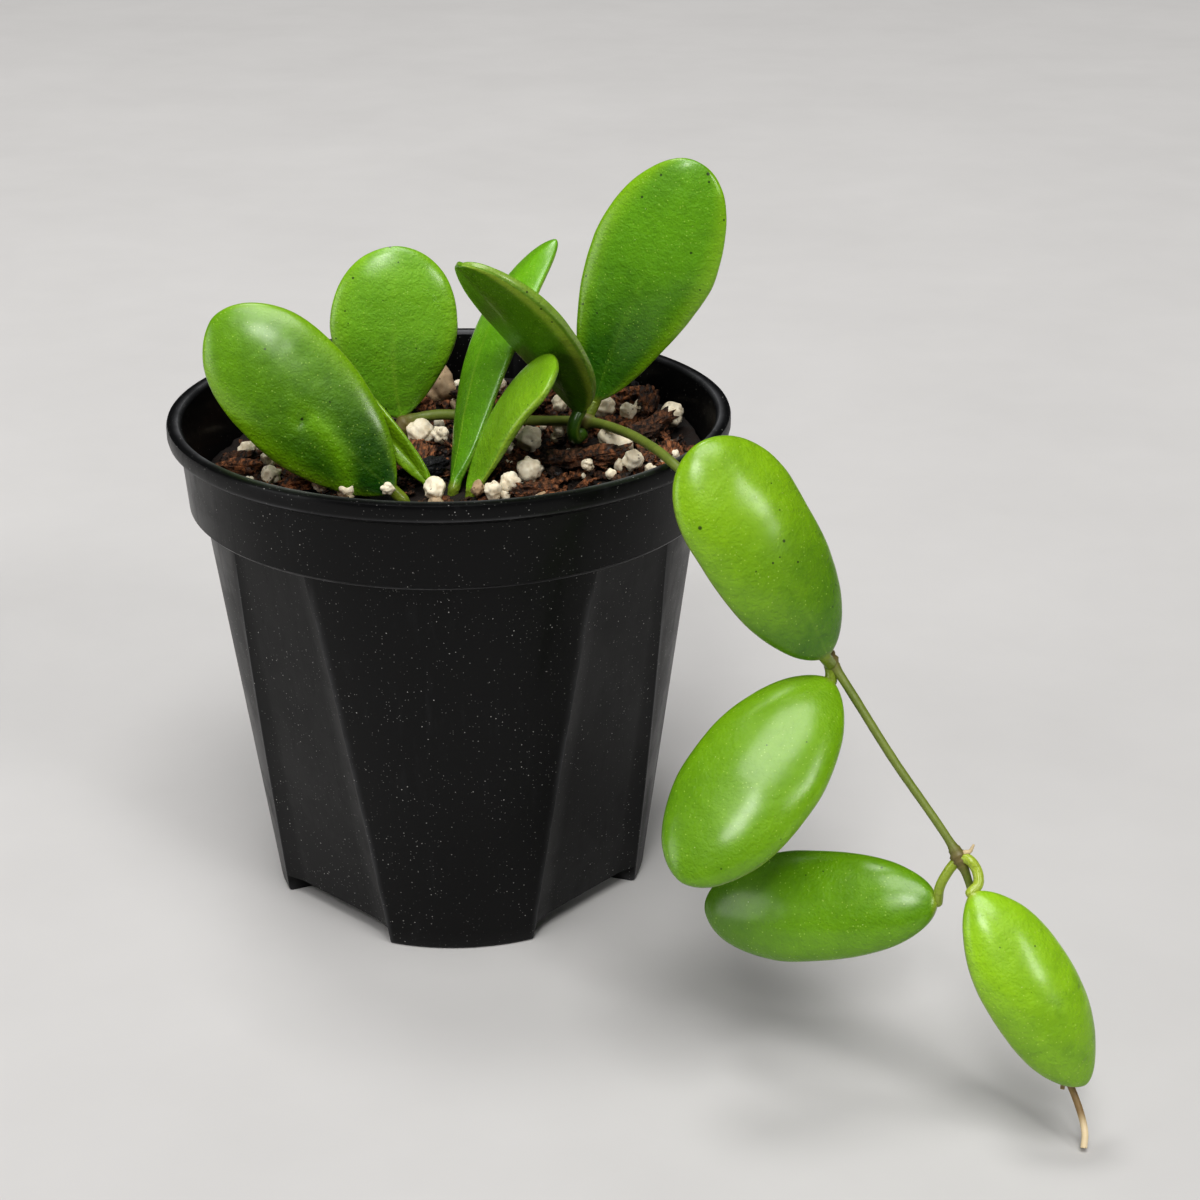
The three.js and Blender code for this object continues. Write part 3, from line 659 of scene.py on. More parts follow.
def blade_outline(s, leaf):
    """Half width along the blade, from 0 at the stalk to 1 at the widest place and 0 at the tip."""
    widest = leaf["widest"]
    foot_full, foot_end, tip_full, tip_end = leaf["shape"]
    if s < widest:
        return (1 - (1 - s / widest) ** foot_full) ** foot_end
    return (1 - ((s - widest) / (1 - widest)) ** tip_full) ** tip_end


def leaf_frame(leaf):
    """The four knots of the midrib's curve, and the way that the upper face looks."""
    base, tip = np.array(leaf["base"], float), np.array(leaf["tip"], float)
    chord = tip - base
    along = unit(chord)
    face = np.array(leaf["face"], float)
    face = unit(face - np.dot(face, along) * along)
    across = np.cross(along, face)
    control = [base + chord * (i + 1) / 3 + face * leaf["bow"][i] + across * leaf["sway"][i]
               for i in range(2)]
    return [base, *control, tip], face


def midrib(knots, s):
    """A point on the midrib's curve, and the curve's direction there."""
    weights = [(1 - s) ** 3, 3 * s * (1 - s) ** 2, 3 * s * s * (1 - s), s**3]
    centre = sum(w * k for w, k in zip(weights, knots))
    tangent = unit((1 - s) ** 2 * (knots[1] - knots[0]) + 2 * s * (1 - s) * (knots[2] - knots[1])
                   + s * s * (knots[3] - knots[2]))
    return centre, tangent


def blade_rings(leaf, knots, face, reach, lift):
    """Rings of the blade, and how far along it each one is."""
    rings, places = [], []
    for i in range(BLADE_STEPS):
        s = 0.5 - 0.5 * math.cos(math.pi * i / BLADE_STEPS)
        centre, tangent = midrib(knots, s)
        normal = unit(face - np.dot(face, tangent) * tangent)
        side = np.cross(tangent, normal)
        turn = math.radians(leaf.get("twist", 0)) * (s - 0.5)
        normal, side = (math.cos(turn) * normal + math.sin(turn) * side,
                        math.cos(turn) * side - math.sin(turn) * normal)
        full = blade_outline(s, leaf)
        taper = leaf["stalk"] * (1 - s) ** 2
        half_width = max(full * leaf["width"] / 2, taper)
        half_thick = max(math.sqrt(full) * leaf["thick"] / 2, taper)
        rise = (half_thick * lift - leaf["droop"] * (full * reach) ** 2
                + leaf.get("fold", 0) * full * np.abs(reach))
        rings.append(centre + np.outer(reach * half_width, side) + np.outer(rise, normal))
        places.append(s)
    return rings, places


def stalk_rings(leaf, face, reach, lift):
    """Rings of the stalk from its free end to the blade, the stalk's end and its direction there.

    The rings carry the blade's face back along the stalk.
    """
    route = smooth_route([*leaf["path"], leaf["base"]], STALK_STEPS * (len(leaf["path"]) + 1))
    tangents = np.gradient(route, axis=0)
    normal = face
    rings = []
    for centre, tangent in zip(route[::-1], tangents[::-1]):
        tangent = unit(tangent)
        normal = unit(normal - np.dot(normal, tangent) * tangent)
        side = np.cross(tangent, normal)
        rings.insert(0, centre + leaf["stalk"] * (np.outer(reach, side) + np.outer(lift, normal)))
    return rings, route, unit(tangents[-1])


def leaf_skin(leaf):
    """Points and faces of one leaf, and for each point how far along and across the blade it is.

    Where stalk and blade meet at a sharp angle they are two skins, and the stalk's has a round end.
    """
    knots, face = leaf_frame(leaf)
    base, tip = knots[0], knots[-1]
    turns = np.linspace(0, 2 * math.pi, LEAF_SIDES, endpoint=False)
    round_reach, round_lift = np.cos(turns), np.sin(turns)
    section = leaf.get("section", 0.85)
    reach = np.sign(round_reach) * np.abs(round_reach) ** section
    lift = np.sign(round_lift) * np.abs(round_lift) ** section
    blade, places = blade_rings(leaf, knots, face, reach, lift)
    stalk, route, end = stalk_rings(leaf, face, round_reach, round_lift)
    if np.dot(end, midrib(knots, 0)[1]) > math.cos(SHARP_BEND):
        stalk = stalk[:-1]
        skins = [(stalk + blade, [0.0] * len(stalk) + places, route[0], tip)]
    else:
        cap = [base + (stalk[-1] - base) * math.cos(a) + end * leaf["stalk"] * math.sin(a)
               for a in (0.4, 0.8, 1.2)]
        skins = [(stalk + cap, [0.0] * len(stalk + cap), route[0], base + end * leaf["stalk"]),
                 (blade, places, base, tip)]
    points, faces, marks = np.zeros((0, 3)), [], []
    for rings, along, first, last in skins:
        skin_points, skin_faces = closed_skin(rings, first, last)
        faces.extend(tuple(i + len(points) for i in f) for f in skin_faces)
        points = np.concatenate([points, skin_points])
        marks.extend((s, r, f) for s in along for r, f in zip(reach, lift))
        marks.extend([(along[0], 0.0, 0.0), (max(along), 0.0, 0.0)])
    return points, faces, np.array(marks)


def seen_on(points, faces, pixel):
    """The place on a skin, in millimetres, that a pixel of the picture shows."""
    skin = BVHTree.FromPolygons([Vector(p) for p in points], faces)
    hit = skin.ray_cast(Vector(CAMERA), Vector(sight(pixel)))[0]
    return None if hit is None else np.array(hit)


def uneven(points, faces, marks, seed):
    """The blade with the slight unevenness of a living leaf."""
    normals = vertex_normals(points, faces)
    fade = np.clip(marks[:, 0] * 8, 0, 1)
    for size, depth in UNDULATION:
        points = points + normals * (ripple(points, size, seed) * depth * fade)[:, None]
    return points, normals


def dimple(points, normals, faces):
    """Presses the broad leaf's dimple in, and raises the crease below it.

    Also gives how much each point is painted lighter or darker for it: painted shade in the dimple and in a
    wide patch about the crease, and a lighter crease, partly its paler tissue and partly painted light.
    """
    centre = seen_on(points, faces, DIMPLE)
    away = np.linalg.norm(points - centre, axis=1)
    front = normals @ unit(CAMERA - centre) > 0
    depth = -DIMPLE_DEPTH * np.exp(-(away / DIMPLE_SIZE) ** 2)
    crease = smooth_route([seen_on(points, faces, pixel) for pixel in CREASE],
                          CREASE_STEPS)
    near = np.linalg.norm(points[:, None] - crease[None], axis=2)
    share = near.argmin(1) / CREASE_STEPS
    near = near.min(1)
    ridge = CREASE_HEIGHT * np.exp(-(near / CREASE_WIDTH) ** 2)
    ridge = ridge * np.sin(math.pi * np.clip(share, 0.1, 1))
    # Painted light on the crease, partly its paler tissue, and painted shade about it and in the dimple.
    crease_shading = 0.75 * np.exp(-(near / 2.6) ** 2) - 0.2 * np.exp(-(near / 9.5) ** 2)
    crease_shading -= 0.6 * np.exp(-(away / 1.5) ** 2)
    return points + normals * ((depth + ridge) * front)[:, None], crease_shading * front


def make_leaf(leaf, seed):
    """One leaf, blade and stalk, with its dots where the picture shows them."""
    points, faces, marks = leaf_skin(leaf)
    points, normals = uneven(points, faces, marks, seed)
    # Painted light and shade of the dimple and crease, on the broad leaf only.
    crease_shading = np.zeros(len(points))
    if leaf["name"] == "leaf_left_broad":
        points, crease_shading = dimple(points, normals, faces)
    dots = [(seen_on(points, faces, (x, y)), size) for x, y, size in DOTS.get(leaf["name"], [])]
    dots = [(to_row(place), size * MM) for place, size in dots if place is not None]
    make_piece(leaf["name"] + "_blade", points, faces, leaf_wax(leaf, dots, seed),
               leaf["name"], {"along": marks[:, 0], "across": marks[:, 1], "upper": marks[:, 2],
                               "crease_shading": crease_shading})


def leaf_wax(leaf, dots, seed):
    """Waxy green skin, mottled, with specks, dots, midrib and edge, and painted light and shade."""
    def build(tree):
        place = tree.vector("ADD", tree.place(), (0.37 * seed, 0.21 * seed, 0.0))
        along, across, upper = (tree.attribute(name) for name in ("along", "across", "upper"))
        outer = tree.math("ABSOLUTE", across)
        patches = tree.group(MOTTLE, Place=place, Scale=55.0, Contrast=2.2)
        fine = tree.group(MOTTLE, Place=place, Scale=420.0, Contrast=1.6)
        foot = leaf["foot"]
        # Painted shade: darker towards the foot, or towards the tip when foot is negative.
        painted_shade = tree.fade(along, 0.85, 0.0, 0.0, foot) if foot > 0 else \
            tree.fade(along, 0.1, 1.0, 0.0, -foot)
        depth = tree.math("MULTIPLY_ADD", patches, 0.5, painted_shade)
        depth = tree.math("MULTIPLY_ADD", tree.math("SUBTRACT", fine, 0.5), 0.25, depth)
        # Painted light and shade of the dimple and crease.
        depth = tree.math("SUBTRACT", depth, tree.attribute("crease_shading"))
        depth = tree.math("SUBTRACT", depth, 0.12, clamp=True)
        # Lit and shaded colours, mixed by the random patches and by the painted shade above.
        base = tree.blend(depth, colour(*leaf["lit"]), colour(*leaf["deep"]))
        # Painted shade on the leaf's back, the side turned away from the light.
        under = tree.fade(upper, 0.05, -0.4)
        base = tree.blend(tree.math("MULTIPLY", under, leaf.get("under", 0.3)), base,
                          colour(70, 118, 14))
        rib = tree.math("MULTIPLY", tree.fade(outer, 0.09, 0.0), tree.fade(along, 0.85, 0.05))
        base = tree.blend(tree.math("MULTIPLY", rib, leaf["rib"]), base, colour(150, 188, 60))
        # Painted highlight: a pale line along one edge where it catches the light, and a band above it
        # painted lighter as the lit upper face.
        if "ridge" in leaf:
            side, height, strength = leaf["ridge"]
            level = tree.fade(tree.math("ABSOLUTE", tree.math("SUBTRACT", upper, height)), 0.2, 0.05)
            here = tree.fade(tree.math("MULTIPLY", across, side), 0.6, 0.85)
            lit_band = tree.math("MULTIPLY", tree.fade(upper, height, height + 0.2), here)
            base = tree.blend(tree.math("MULTIPLY", lit_band, leaf.get("lit_band", 0.0)), base,
                              colour(128, 166, 52))
            ridge = tree.math("MULTIPLY", level, here)
            base = tree.blend(tree.math("MULTIPLY", ridge, strength), base, colour(168, 196, 70))
        # Painted light: the blade lighter towards its edges, as light shines through them.
        glow = tree.math("MULTIPLY", tree.fade(outer, 0.6, 0.97), leaf.get("glow", 0.0))
        base = tree.blend(glow, base, colour(146, 190, 14))
        pale = tree.group(SPECKS, Place=place, Scale=1150.0, Size=0.2, Share=0.5)
        base = tree.blend(tree.math("MULTIPLY", pale, 0.45), base, colour(180, 210, 96))
        dust = tree.group(SPECKS, Place=place, Scale=480.0, Size=0.06, Share=0.25)
        base = tree.blend(tree.math("MULTIPLY", dust, 0.6), base, colour(212, 228, 160))
        flecks = tree.group(SPECKS, Place=place, Scale=280.0, Size=0.065, Share=0.6)
        base = tree.blend(tree.math("MULTIPLY", flecks, 0.75), base, colour(28, 54, 4))
        rim = tree.math("MULTIPLY", tree.fade(outer, 0.985, 1.0), tree.fade(along, 0.0, 0.06))
        base = tree.blend(tree.math("MULTIPLY", rim, 0.5), base, colour(150, 172, 78))
        neck = tree.fade(along, 0.035, 0.0)
        base = tree.blend(tree.math("MULTIPLY", neck, 0.75), base,
                          colour(*leaf.get("neck", (126, 136, 46))))
        for centre, size in dots:
            mark = tree.group(SPOT, Place=tree.place(), Centre=tuple(centre), Size=size)
            base = tree.blend(tree.math("MULTIPLY", mark, 0.85), base, colour(26, 40, 6))
        rough = tree.fade(fine, 0.2, 0.8, 0.38, 0.5)
        relief = tree.group(WAX, Place=place, Scale=1250.0)
        height = tree.math("MULTIPLY_ADD", tree.noise(place, 330.0, 2.0), 1.7, relief)
        return {"Base Color": base, "Roughness": rough,
                "Normal": tree.bump(height, 0.8, 0.0003)}

    return finish_material(leaf["name"] + " wax", build, Subsurface_Weight=0.12,
                           Subsurface_Radius=(0.8, 1.0, 0.1), Subsurface_Scale=0.0018,
                           Specular_IOR_Level=0.16, Coat_Weight=0.9, Coat_Roughness=0.25)


# ------------------------------------------------------------------ trailing stem

ROUTE = [
    (-11, 12.5, 92), (-11.3, 13, 96.5), NODE_A, (-6, 15.5, 102), (5.5, 13, 102.7),
    (17, 9.3, 103), NODE_B, (36.5, -10, 107.2), (42, -29, 110.6), (45.5, -40.5, 111.7),
    (51, -47.5, 108.5), (59, -55, 100.5), NODE_C, (87, -80.5, 66.5), NODE_D,
    (102.5, -93.3, 42.5), (112, -98.5, 25), (119.5, -104, 12), (122, -108, 6.4),
    (122.7, -110.5, 3.2), (122.4, -112, 0.9),
]
SPUR = [NODE_D, (99.9, -91.3, 52.2), (100.8, -91.5, 52.6), (101.5, -91.4, 54)]
SPLIT = [(119.6, -104.1, 11.8), (119, -105.3, 10.6), (118.8, -106, 9.8)]
SHEATH = [(-12.1, 14, 101.2), (-11.7, 12.9, 99.9), (-11, 12, 98.3)]     # dry scale below node A
STEM_ROOT, STEM_END = 1.2, 0.65          # radii
STEM_STEPS, STEM_SIDES = 700, 20
TWIG_STEPS, TWIG_SIDES = 24, 12
# What grows on the stem: route, radius at its foot and its end, and how dry it is.
TWIGS = [(SPUR, 0.7, 0.22, 1.5), (SPLIT, 0.6, 0.4, 0.9), (SHEATH, 1.25, 0.2, 0.8)]
TWIG_BROWN = 0.3
SWELL, SWELL_LENGTH = 0.75, 2.0          # how much a node stands out, and along what length


def make_stem():
    """The stem with its swollen nodes, and the spur, split end and dry sheath on it."""
    route = smooth_route(ROUTE, STEM_STEPS)
    t = np.linspace(0, 1, len(route))
    radii = lerp(STEM_ROOT, STEM_END, t)
    brown = np.zeros(len(route))
    for place in (NODE_A, NODE_B, NODE_C, NODE_D):
        near = np.exp(-(np.linalg.norm(route - place, axis=1) / SWELL_LENGTH) ** 2)
        scars = 1 + 0.25 * np.sin(route[:, 2] * 6.5) * (near > 0.35)
        radii = radii + SWELL * near * scars
        brown = np.maximum(brown, near**0.7)
    radii = radii * (1 + 0.035 * ripple(route, 2.2, 3) + 0.02 * ripple(route, 0.8, 5))
    dry = np.clip((t - 0.9) / 0.06, 0, 1) + 0.8 * np.clip((t - 0.972) / 0.016, 0, 1)
    stem_points, stem_faces = tube(route, radii, STEM_SIDES)
    parts = [(stem_points, stem_faces, np.repeat(brown, STEM_SIDES),
              np.repeat(dry, STEM_SIDES))]
    for path, start, end, is_dry in TWIGS:
        line = smooth_route(path, TWIG_STEPS)
        points, faces = tube(line, np.linspace(start, end, len(line)), TWIG_SIDES)
        count = len(line) * TWIG_SIDES
        parts.append((points, faces, np.full(count, TWIG_BROWN), np.full(count, is_dry)))
    points, faces, browns, dries = [], [], [], []
    for part_points, part_faces, part_brown, part_dry in parts:
        faces.extend(tuple(i + len(points) for i in f) for f in part_faces)
        points.extend(part_points)
        browns.extend([*part_brown, part_brown[0], part_brown[-1]])
        dries.extend([*part_dry, part_dry[0], part_dry[-1]])
    make_piece("stem", np.array(points), faces, stem_skin(), "trailing_stem",
               {"brown": browns, "dry": dries})


def stem_skin():
    """Green bark, brown at the nodes, straw and then cream towards the dry end."""
    def build(tree):
        place = tree.place()
        patches = tree.group(MOTTLE, Place=place, Scale=160.0, Contrast=2.0)
        grain = tree.group(STREAKS, Place=place, Stretch=(1.0, 1.0, 0.35), Scale=900.0)
        base = tree.blend(patches, colour(128, 140, 62), colour(96, 112, 40))
        base = tree.blend(tree.math("MULTIPLY", tree.attribute("brown"), 0.8), base,
                          colour(112, 92, 60))
        straw = tree.blend(patches, colour(172, 146, 98), colour(120, 92, 56))
        dry = tree.attribute("dry")
        base = tree.blend(dry, base, straw)
        base = tree.blend(tree.fade(dry, 1.0, 1.8), base, colour(224, 204, 166))
        dots = tree.group(SPECKS, Place=place, Scale=900.0, Size=0.24, Share=0.25)
        base = tree.blend(tree.math("MULTIPLY", dots, 0.4), base, colour(96, 76, 44))
        return {"Base Color": base, "Roughness": tree.fade(grain, 0.3, 0.7, 0.38, 0.58),
                "Normal": tree.bump(grain, 0.4, 0.00012)}

    return finish_material("stem skin", build, Subsurface_Weight=0.08,
                           Subsurface_Radius=(0.8, 0.8, 0.3), Subsurface_Scale=0.001)


# ------------------------------------------------------------------ potting mix

SOIL_LEVEL, SLOPE_X, SLOPE_Y, SOIL_LUMP = 98.5, 0.06, 0.035, 0.7
SINK = 2.6                      # the bare ground lies this far under the chips' level
GROUND_RINGS, GROUND_SIDES = 96, 300
MIX_SIDES = ((92.0, 54.2), (89.5, 49.8), (6.6, 36.6))      # height and radius, within the walls
CLEAR_OF_LEAF = 2.2             # no strewn chip's middle comes closer than this to a leaf
SLAB_REACH = 52.0               # how far out the seen slabs may stand
FULL_TURN = 6.2832              # radians

# Perlite grains that show in the picture: pixel and radius in millimetres.
GRAINS = [
    (672, 420, 2.4), (640, 412, 1.5), (617, 447, 3.0), (633, 465, 1.9), (604, 412, 2.2),
    (628, 416, 1.6), (420, 437, 2.6), (440, 440, 1.7), (440, 391, 3.4), (530, 444, 2.4),
    (516, 436, 1.8), (560, 433, 1.6), (529, 475, 2.3), (511, 488, 2.0), (435, 494, 2.1),
    (348, 492, 2.3), (248, 455, 1.8), (494, 389, 2.3), (478, 494, 1.3), (493, 496, 1.6),
    (588, 470, 1.2), (271, 480, 1.8), (320, 489, 1.5), (388, 494, 1.2), (560, 408, 1.6),
    (268, 466, 1.5),
]

# Bark slabs and charcoal that show: pixel, half sizes, turn about +Z and rise of the far end in
# degrees, and shade: under 0.1 charcoal, then dark to light bark.
SLABS = [
    (677, 427, (6.5, 2.0, 1.8), 42, 14, 0.5), (627, 400, (4.4, 2.4, 2.0), -30, 10, 0.8),
    (650, 386, (3.2, 2.6, 2.2), 20, 25, 0.05), (601, 458, (6.0, 2.2, 1.6), 12, 5, 0.6),
    (568, 462, (5.0, 2.4, 1.7), -18, 8, 0.45), (484, 452, (4.6, 3.0, 1.9), 60, 6, 0.06),
    (474, 424, (4.4, 2.4, 1.6), -10, 12, 0.5), (242, 470, (5.2, 2.4, 1.6), -24, 6, 0.7),
    (222, 459, (4.2, 2.0, 1.5), 30, 10, 0.4), (470, 398, (4.0, 2.6, 2.2), 15, 12, 0.3),
    (527, 405, (5.0, 2.2, 1.7), -35, 8, 0.75), (545, 398, (4.4, 2.0, 1.6), 50, 10, 0.6),
    (640, 437, (4.6, 1.8, 1.4), 30, 6, 0.35), (612, 388, (4.0, 2.2, 1.9), -12, 20, 0.07),
    (690, 398, (4.0, 2.0, 2.0), 80, 30, 0.55), (424, 470, (4.6, 2.2, 1.5), 35, 4, 0.06),
    (535, 492, (4.6, 1.9, 1.4), -8, 5, 0.6), (298, 486, (4.0, 1.9, 1.4), 10, 6, 0.7),
]


def soil_height(x, y):
    """The level of the mix: a gentle slope with low waves."""
    waves = (np.sin(x / 6.1 + y / 9.3 + 0.7) + np.sin(x / 11 - y / 5.4 + 2.1)
             + np.sin((x + y) / 7.7 + 4))
    return SOIL_LEVEL + SLOPE_X * x + SLOPE_Y * y + SOIL_LUMP * waves / 2


def on_soil(pixel):
    """The place on the mix that a pixel shows."""
    ray = sight(pixel)
    level = SOIL_LEVEL
    for _ in range(6):
        place = CAMERA + ray * (level - CAMERA[2]) / ray[2]
        level = soil_height(place[0], place[1])
    return place


def make_ground(clearance):
    """The bare mix: crumbly top, and a skirt down the wall to the base."""
    wall = POT["collar_foot"] - POT["wall"] + 0.1
    turns = np.linspace(0, 2 * math.pi, GROUND_SIDES, endpoint=False)
    points = []
    for i in range(1, GROUND_RINGS + 1):
        r = wall * i / GROUND_RINGS
        points.extend(np.stack([r * np.cos(turns), r * np.sin(turns), 0 * turns], 1))
    points = np.array(points)
    points[:, 2] = soil_height(points[:, 0], points[:, 1]) - SINK
    for size, depth in ((5.5, 0.8), (2.2, 0.55), (0.9, 0.3)):
        points[:, 2] += depth * ripple(points, size, 11)
    edge = points[-GROUND_SIDES:]
    skirt = [edge * (r / wall, r / wall, 0) + (0, 0, z) for z, r in MIX_SIDES]
    centre = (0, 0, soil_height(0.0, 0.0) - SINK)
    points = np.concatenate([points, *skirt, [centre, (0, 0, MIX_SIDES[-1][0])]])
    last = len(points) - 1
    rings = GROUND_RINGS + len(MIX_SIDES)
    faces = outward(points, ring_faces(rings, GROUND_SIDES, last - 1, last))
    inside = np.hypot(points[:, 0], points[:, 1]) < wall - 1.5
    top = points[:, 2] > SOIL_LEVEL - 9
    near = np.array([clearance.find_nearest(Vector(p))[3] if ok else 0.0
                     for p, ok in zip(points, top)])
    open_ground = np.clip((near - CLEAR_OF_LEAF) / 1.2, 0, 1) * inside * top
    return make_piece("mix_ground", points, faces, peat(), "potting_mix",
                      {"open": open_ground})


def lump_mesh(name, size, divisions, rough, seed, bend=0.0, fibrous=0.0, bumps=0.5):
    """One chip or grain about the origin, in metres. fibrous ridges run along its X."""
    lump = bpy.data.meshes.new(name)
    shape = bmesh.new()
    bmesh.ops.create_icosphere(shape, subdivisions=divisions, radius=1)
    for corner in shape.verts:
        way = corner.co.normalized()
        push = 1 + rough * noise.noise(way * 1.6 + Vector((seed, 0, 0)))
        push += bumps * rough * noise.noise(way * 4.1 + Vector((0, seed, 0)))
        ridge = Vector((way.x * 1.1, way.y * 5.0, way.z * 5.0 + seed))
        push += fibrous * (noise.noise(ridge) + 0.5 * noise.noise(ridge * 2.3))
        square = Vector([math.copysign(abs(c) ** (1 - bend), c) for c in way])
        corner.co = Vector(a * b * push * MM for a, b in zip(square, size))
    shape.to_mesh(lump)
    shape.free()
    lump.polygons.foreach_set("use_smooth", [divisions > 1] * len(lump.polygons))
    return lump


def lump_shape(name, *form, **more):
    """A lump as an object, to be scattered."""
    return bpy.data.objects.new(name, lump_mesh(name, *form, **more))


def scatter_tree(name):
    """A Geometry Nodes tree that strews shapes from a collection over the open ground."""
    tree = bpy.data.node_groups.new(name, "GeometryNodeTree")
    sockets = [("Ground", "Geometry"), ("Shapes", "Collection"), ("Per Square Metre", "Float"),
               ("Smallest", "Float"), ("Largest", "Float"), ("Tip", "Float"), ("Lift", "Float"),
               ("Seed", "Int"), ("Finish", "Material"), ("On Points", "Bool"),
               ("Reach", "Float")]
    for label, kind in sockets:
        tree.interface.new_socket(label, in_out="INPUT", socket_type="NodeSocket" + kind)
    tree.interface.new_socket("Strewn", in_out="OUTPUT", socket_type="NodeSocketGeometry")
    wire = Tree(tree)
    given = wire.node("NodeGroupInput").outputs
    openness = wire.node("GeometryNodeInputNamedAttribute", {"Name": "open"}, data_type="FLOAT")
    density = wire.math("MULTIPLY", openness.outputs["Attribute"], given["Per Square Metre"])
    place = wire.node("GeometryNodeInputPosition").outputs[0]
    out = wire.vector("MULTIPLY", wire.vector("SUBTRACT", place, tuple(POT_AXIS)), (1, 1, 0))
    within = wire.math("LESS_THAN", wire.vector("LENGTH", out), given["Reach"])
    density = wire.math("MULTIPLY", density, within)
    spread = wire.node("GeometryNodeDistributePointsOnFaces",
                       {"Mesh": given["Ground"], "Density": density, "Seed": given["Seed"]})
    chosen = wire.node("GeometryNodeMeshToPoints", {"Mesh": given["Ground"]})
    switch = wire.node("GeometryNodeSwitch", {"Switch": given["On Points"],
                                              "False": spread.outputs["Points"],
                                              "True": chosen.outputs["Points"]},
                       input_type="GEOMETRY")
    lifted = wire.node("GeometryNodeSetPosition", {"Geometry": switch.outputs[0]})
    rise = wire.node("ShaderNodeCombineXYZ", {"Z": given["Lift"]})
    wire.feed(lifted.inputs["Offset"], rise.outputs[0])
    shapes = wire.node("GeometryNodeCollectionInfo", {"Collection": given["Shapes"],
                                                      "Separate Children": True,
                                                      "Reset Children": True})
    low = wire.node("ShaderNodeCombineXYZ", {"X": wire.math("MULTIPLY", given["Tip"], -1.0),
                                             "Y": wire.math("MULTIPLY", given["Tip"], -1.0),
                                             "Z": 0.0})
    high = wire.node("ShaderNodeCombineXYZ", {"X": given["Tip"], "Y": given["Tip"], "Z": FULL_TURN})
    turn = wire.node("FunctionNodeRandomValue", {"Min": low.outputs[0], "Max": high.outputs[0],
                                                 "Seed": given["Seed"]}, data_type="FLOAT_VECTOR")
    named = wire.node("GeometryNodeInputNamedAttribute", {"Name": "size"}, data_type="FLOAT")
    drawn = wire.node("FunctionNodeRandomValue", data_type="FLOAT")
    numbers = [s for s in drawn.inputs if s.type == "VALUE"]
    wire.feed(numbers[0], given["Smallest"])
    wire.feed(numbers[1], given["Largest"])
    wire.feed(drawn.inputs["Seed"], given["Seed"])
    number_out = next(s for s in drawn.outputs if s.type == "VALUE")
    size = wire.node("GeometryNodeSwitch", {"Switch": given["On Points"], "False": number_out,
                                            "True": named.outputs["Attribute"]},
                     input_type="FLOAT")
    strewn = wire.node("GeometryNodeInstanceOnPoints",
                       {"Points": lifted.outputs[0], "Instance": shapes.outputs[0],
                        "Pick Instance": True, "Rotation": turn.outputs[0],
                        "Scale": size.outputs[0]})
    shade = wire.node("FunctionNodeRandomValue", {"Seed": given["Seed"]}, data_type="FLOAT")
    shade_out = next(s for s in shade.outputs if s.type == "VALUE")
    marked = wire.node("GeometryNodeStoreNamedAttribute",
                       {"Geometry": strewn.outputs[0], "Name": "shade", "Value": shade_out},
                       data_type="FLOAT", domain="INSTANCE")
    real = wire.node("GeometryNodeRealizeInstances", {"Geometry": marked.outputs[0]})
    done = wire.node("GeometryNodeSetMaterial", {"Geometry": real.outputs[0],
                                                 "Material": given["Finish"]})
    wire.feed(wire.node("NodeGroupOutput").inputs[0], done.outputs[0])
    return tree


def strew(name, ground, tree, shapes, material, slot, **values):
    """Runs the scatter tree over a copy of the ground and keeps the result as a plain piece."""
    holder = bpy.data.collections.new(name + " shapes")
    for shape in shapes:
        holder.objects.link(shape)
    made = bpy.data.objects.new(name, ground.data.copy())
    bpy.context.scene.collection.objects.link(made)
    modifier = made.modifiers.new("strewn", "NODES")
    modifier.node_group = tree
    given = {"Shapes": holder, "Finish": material, **values}
    for item in tree.interface.items_tree:
        if item.in_out == "INPUT" and item.name in given:
            modifier[item.identifier] = given[item.name]
    bake_modifiers(made)
    for shape in shapes:
        bpy.data.objects.remove(shape)
    bpy.data.collections.remove(holder)
    return settle(made)


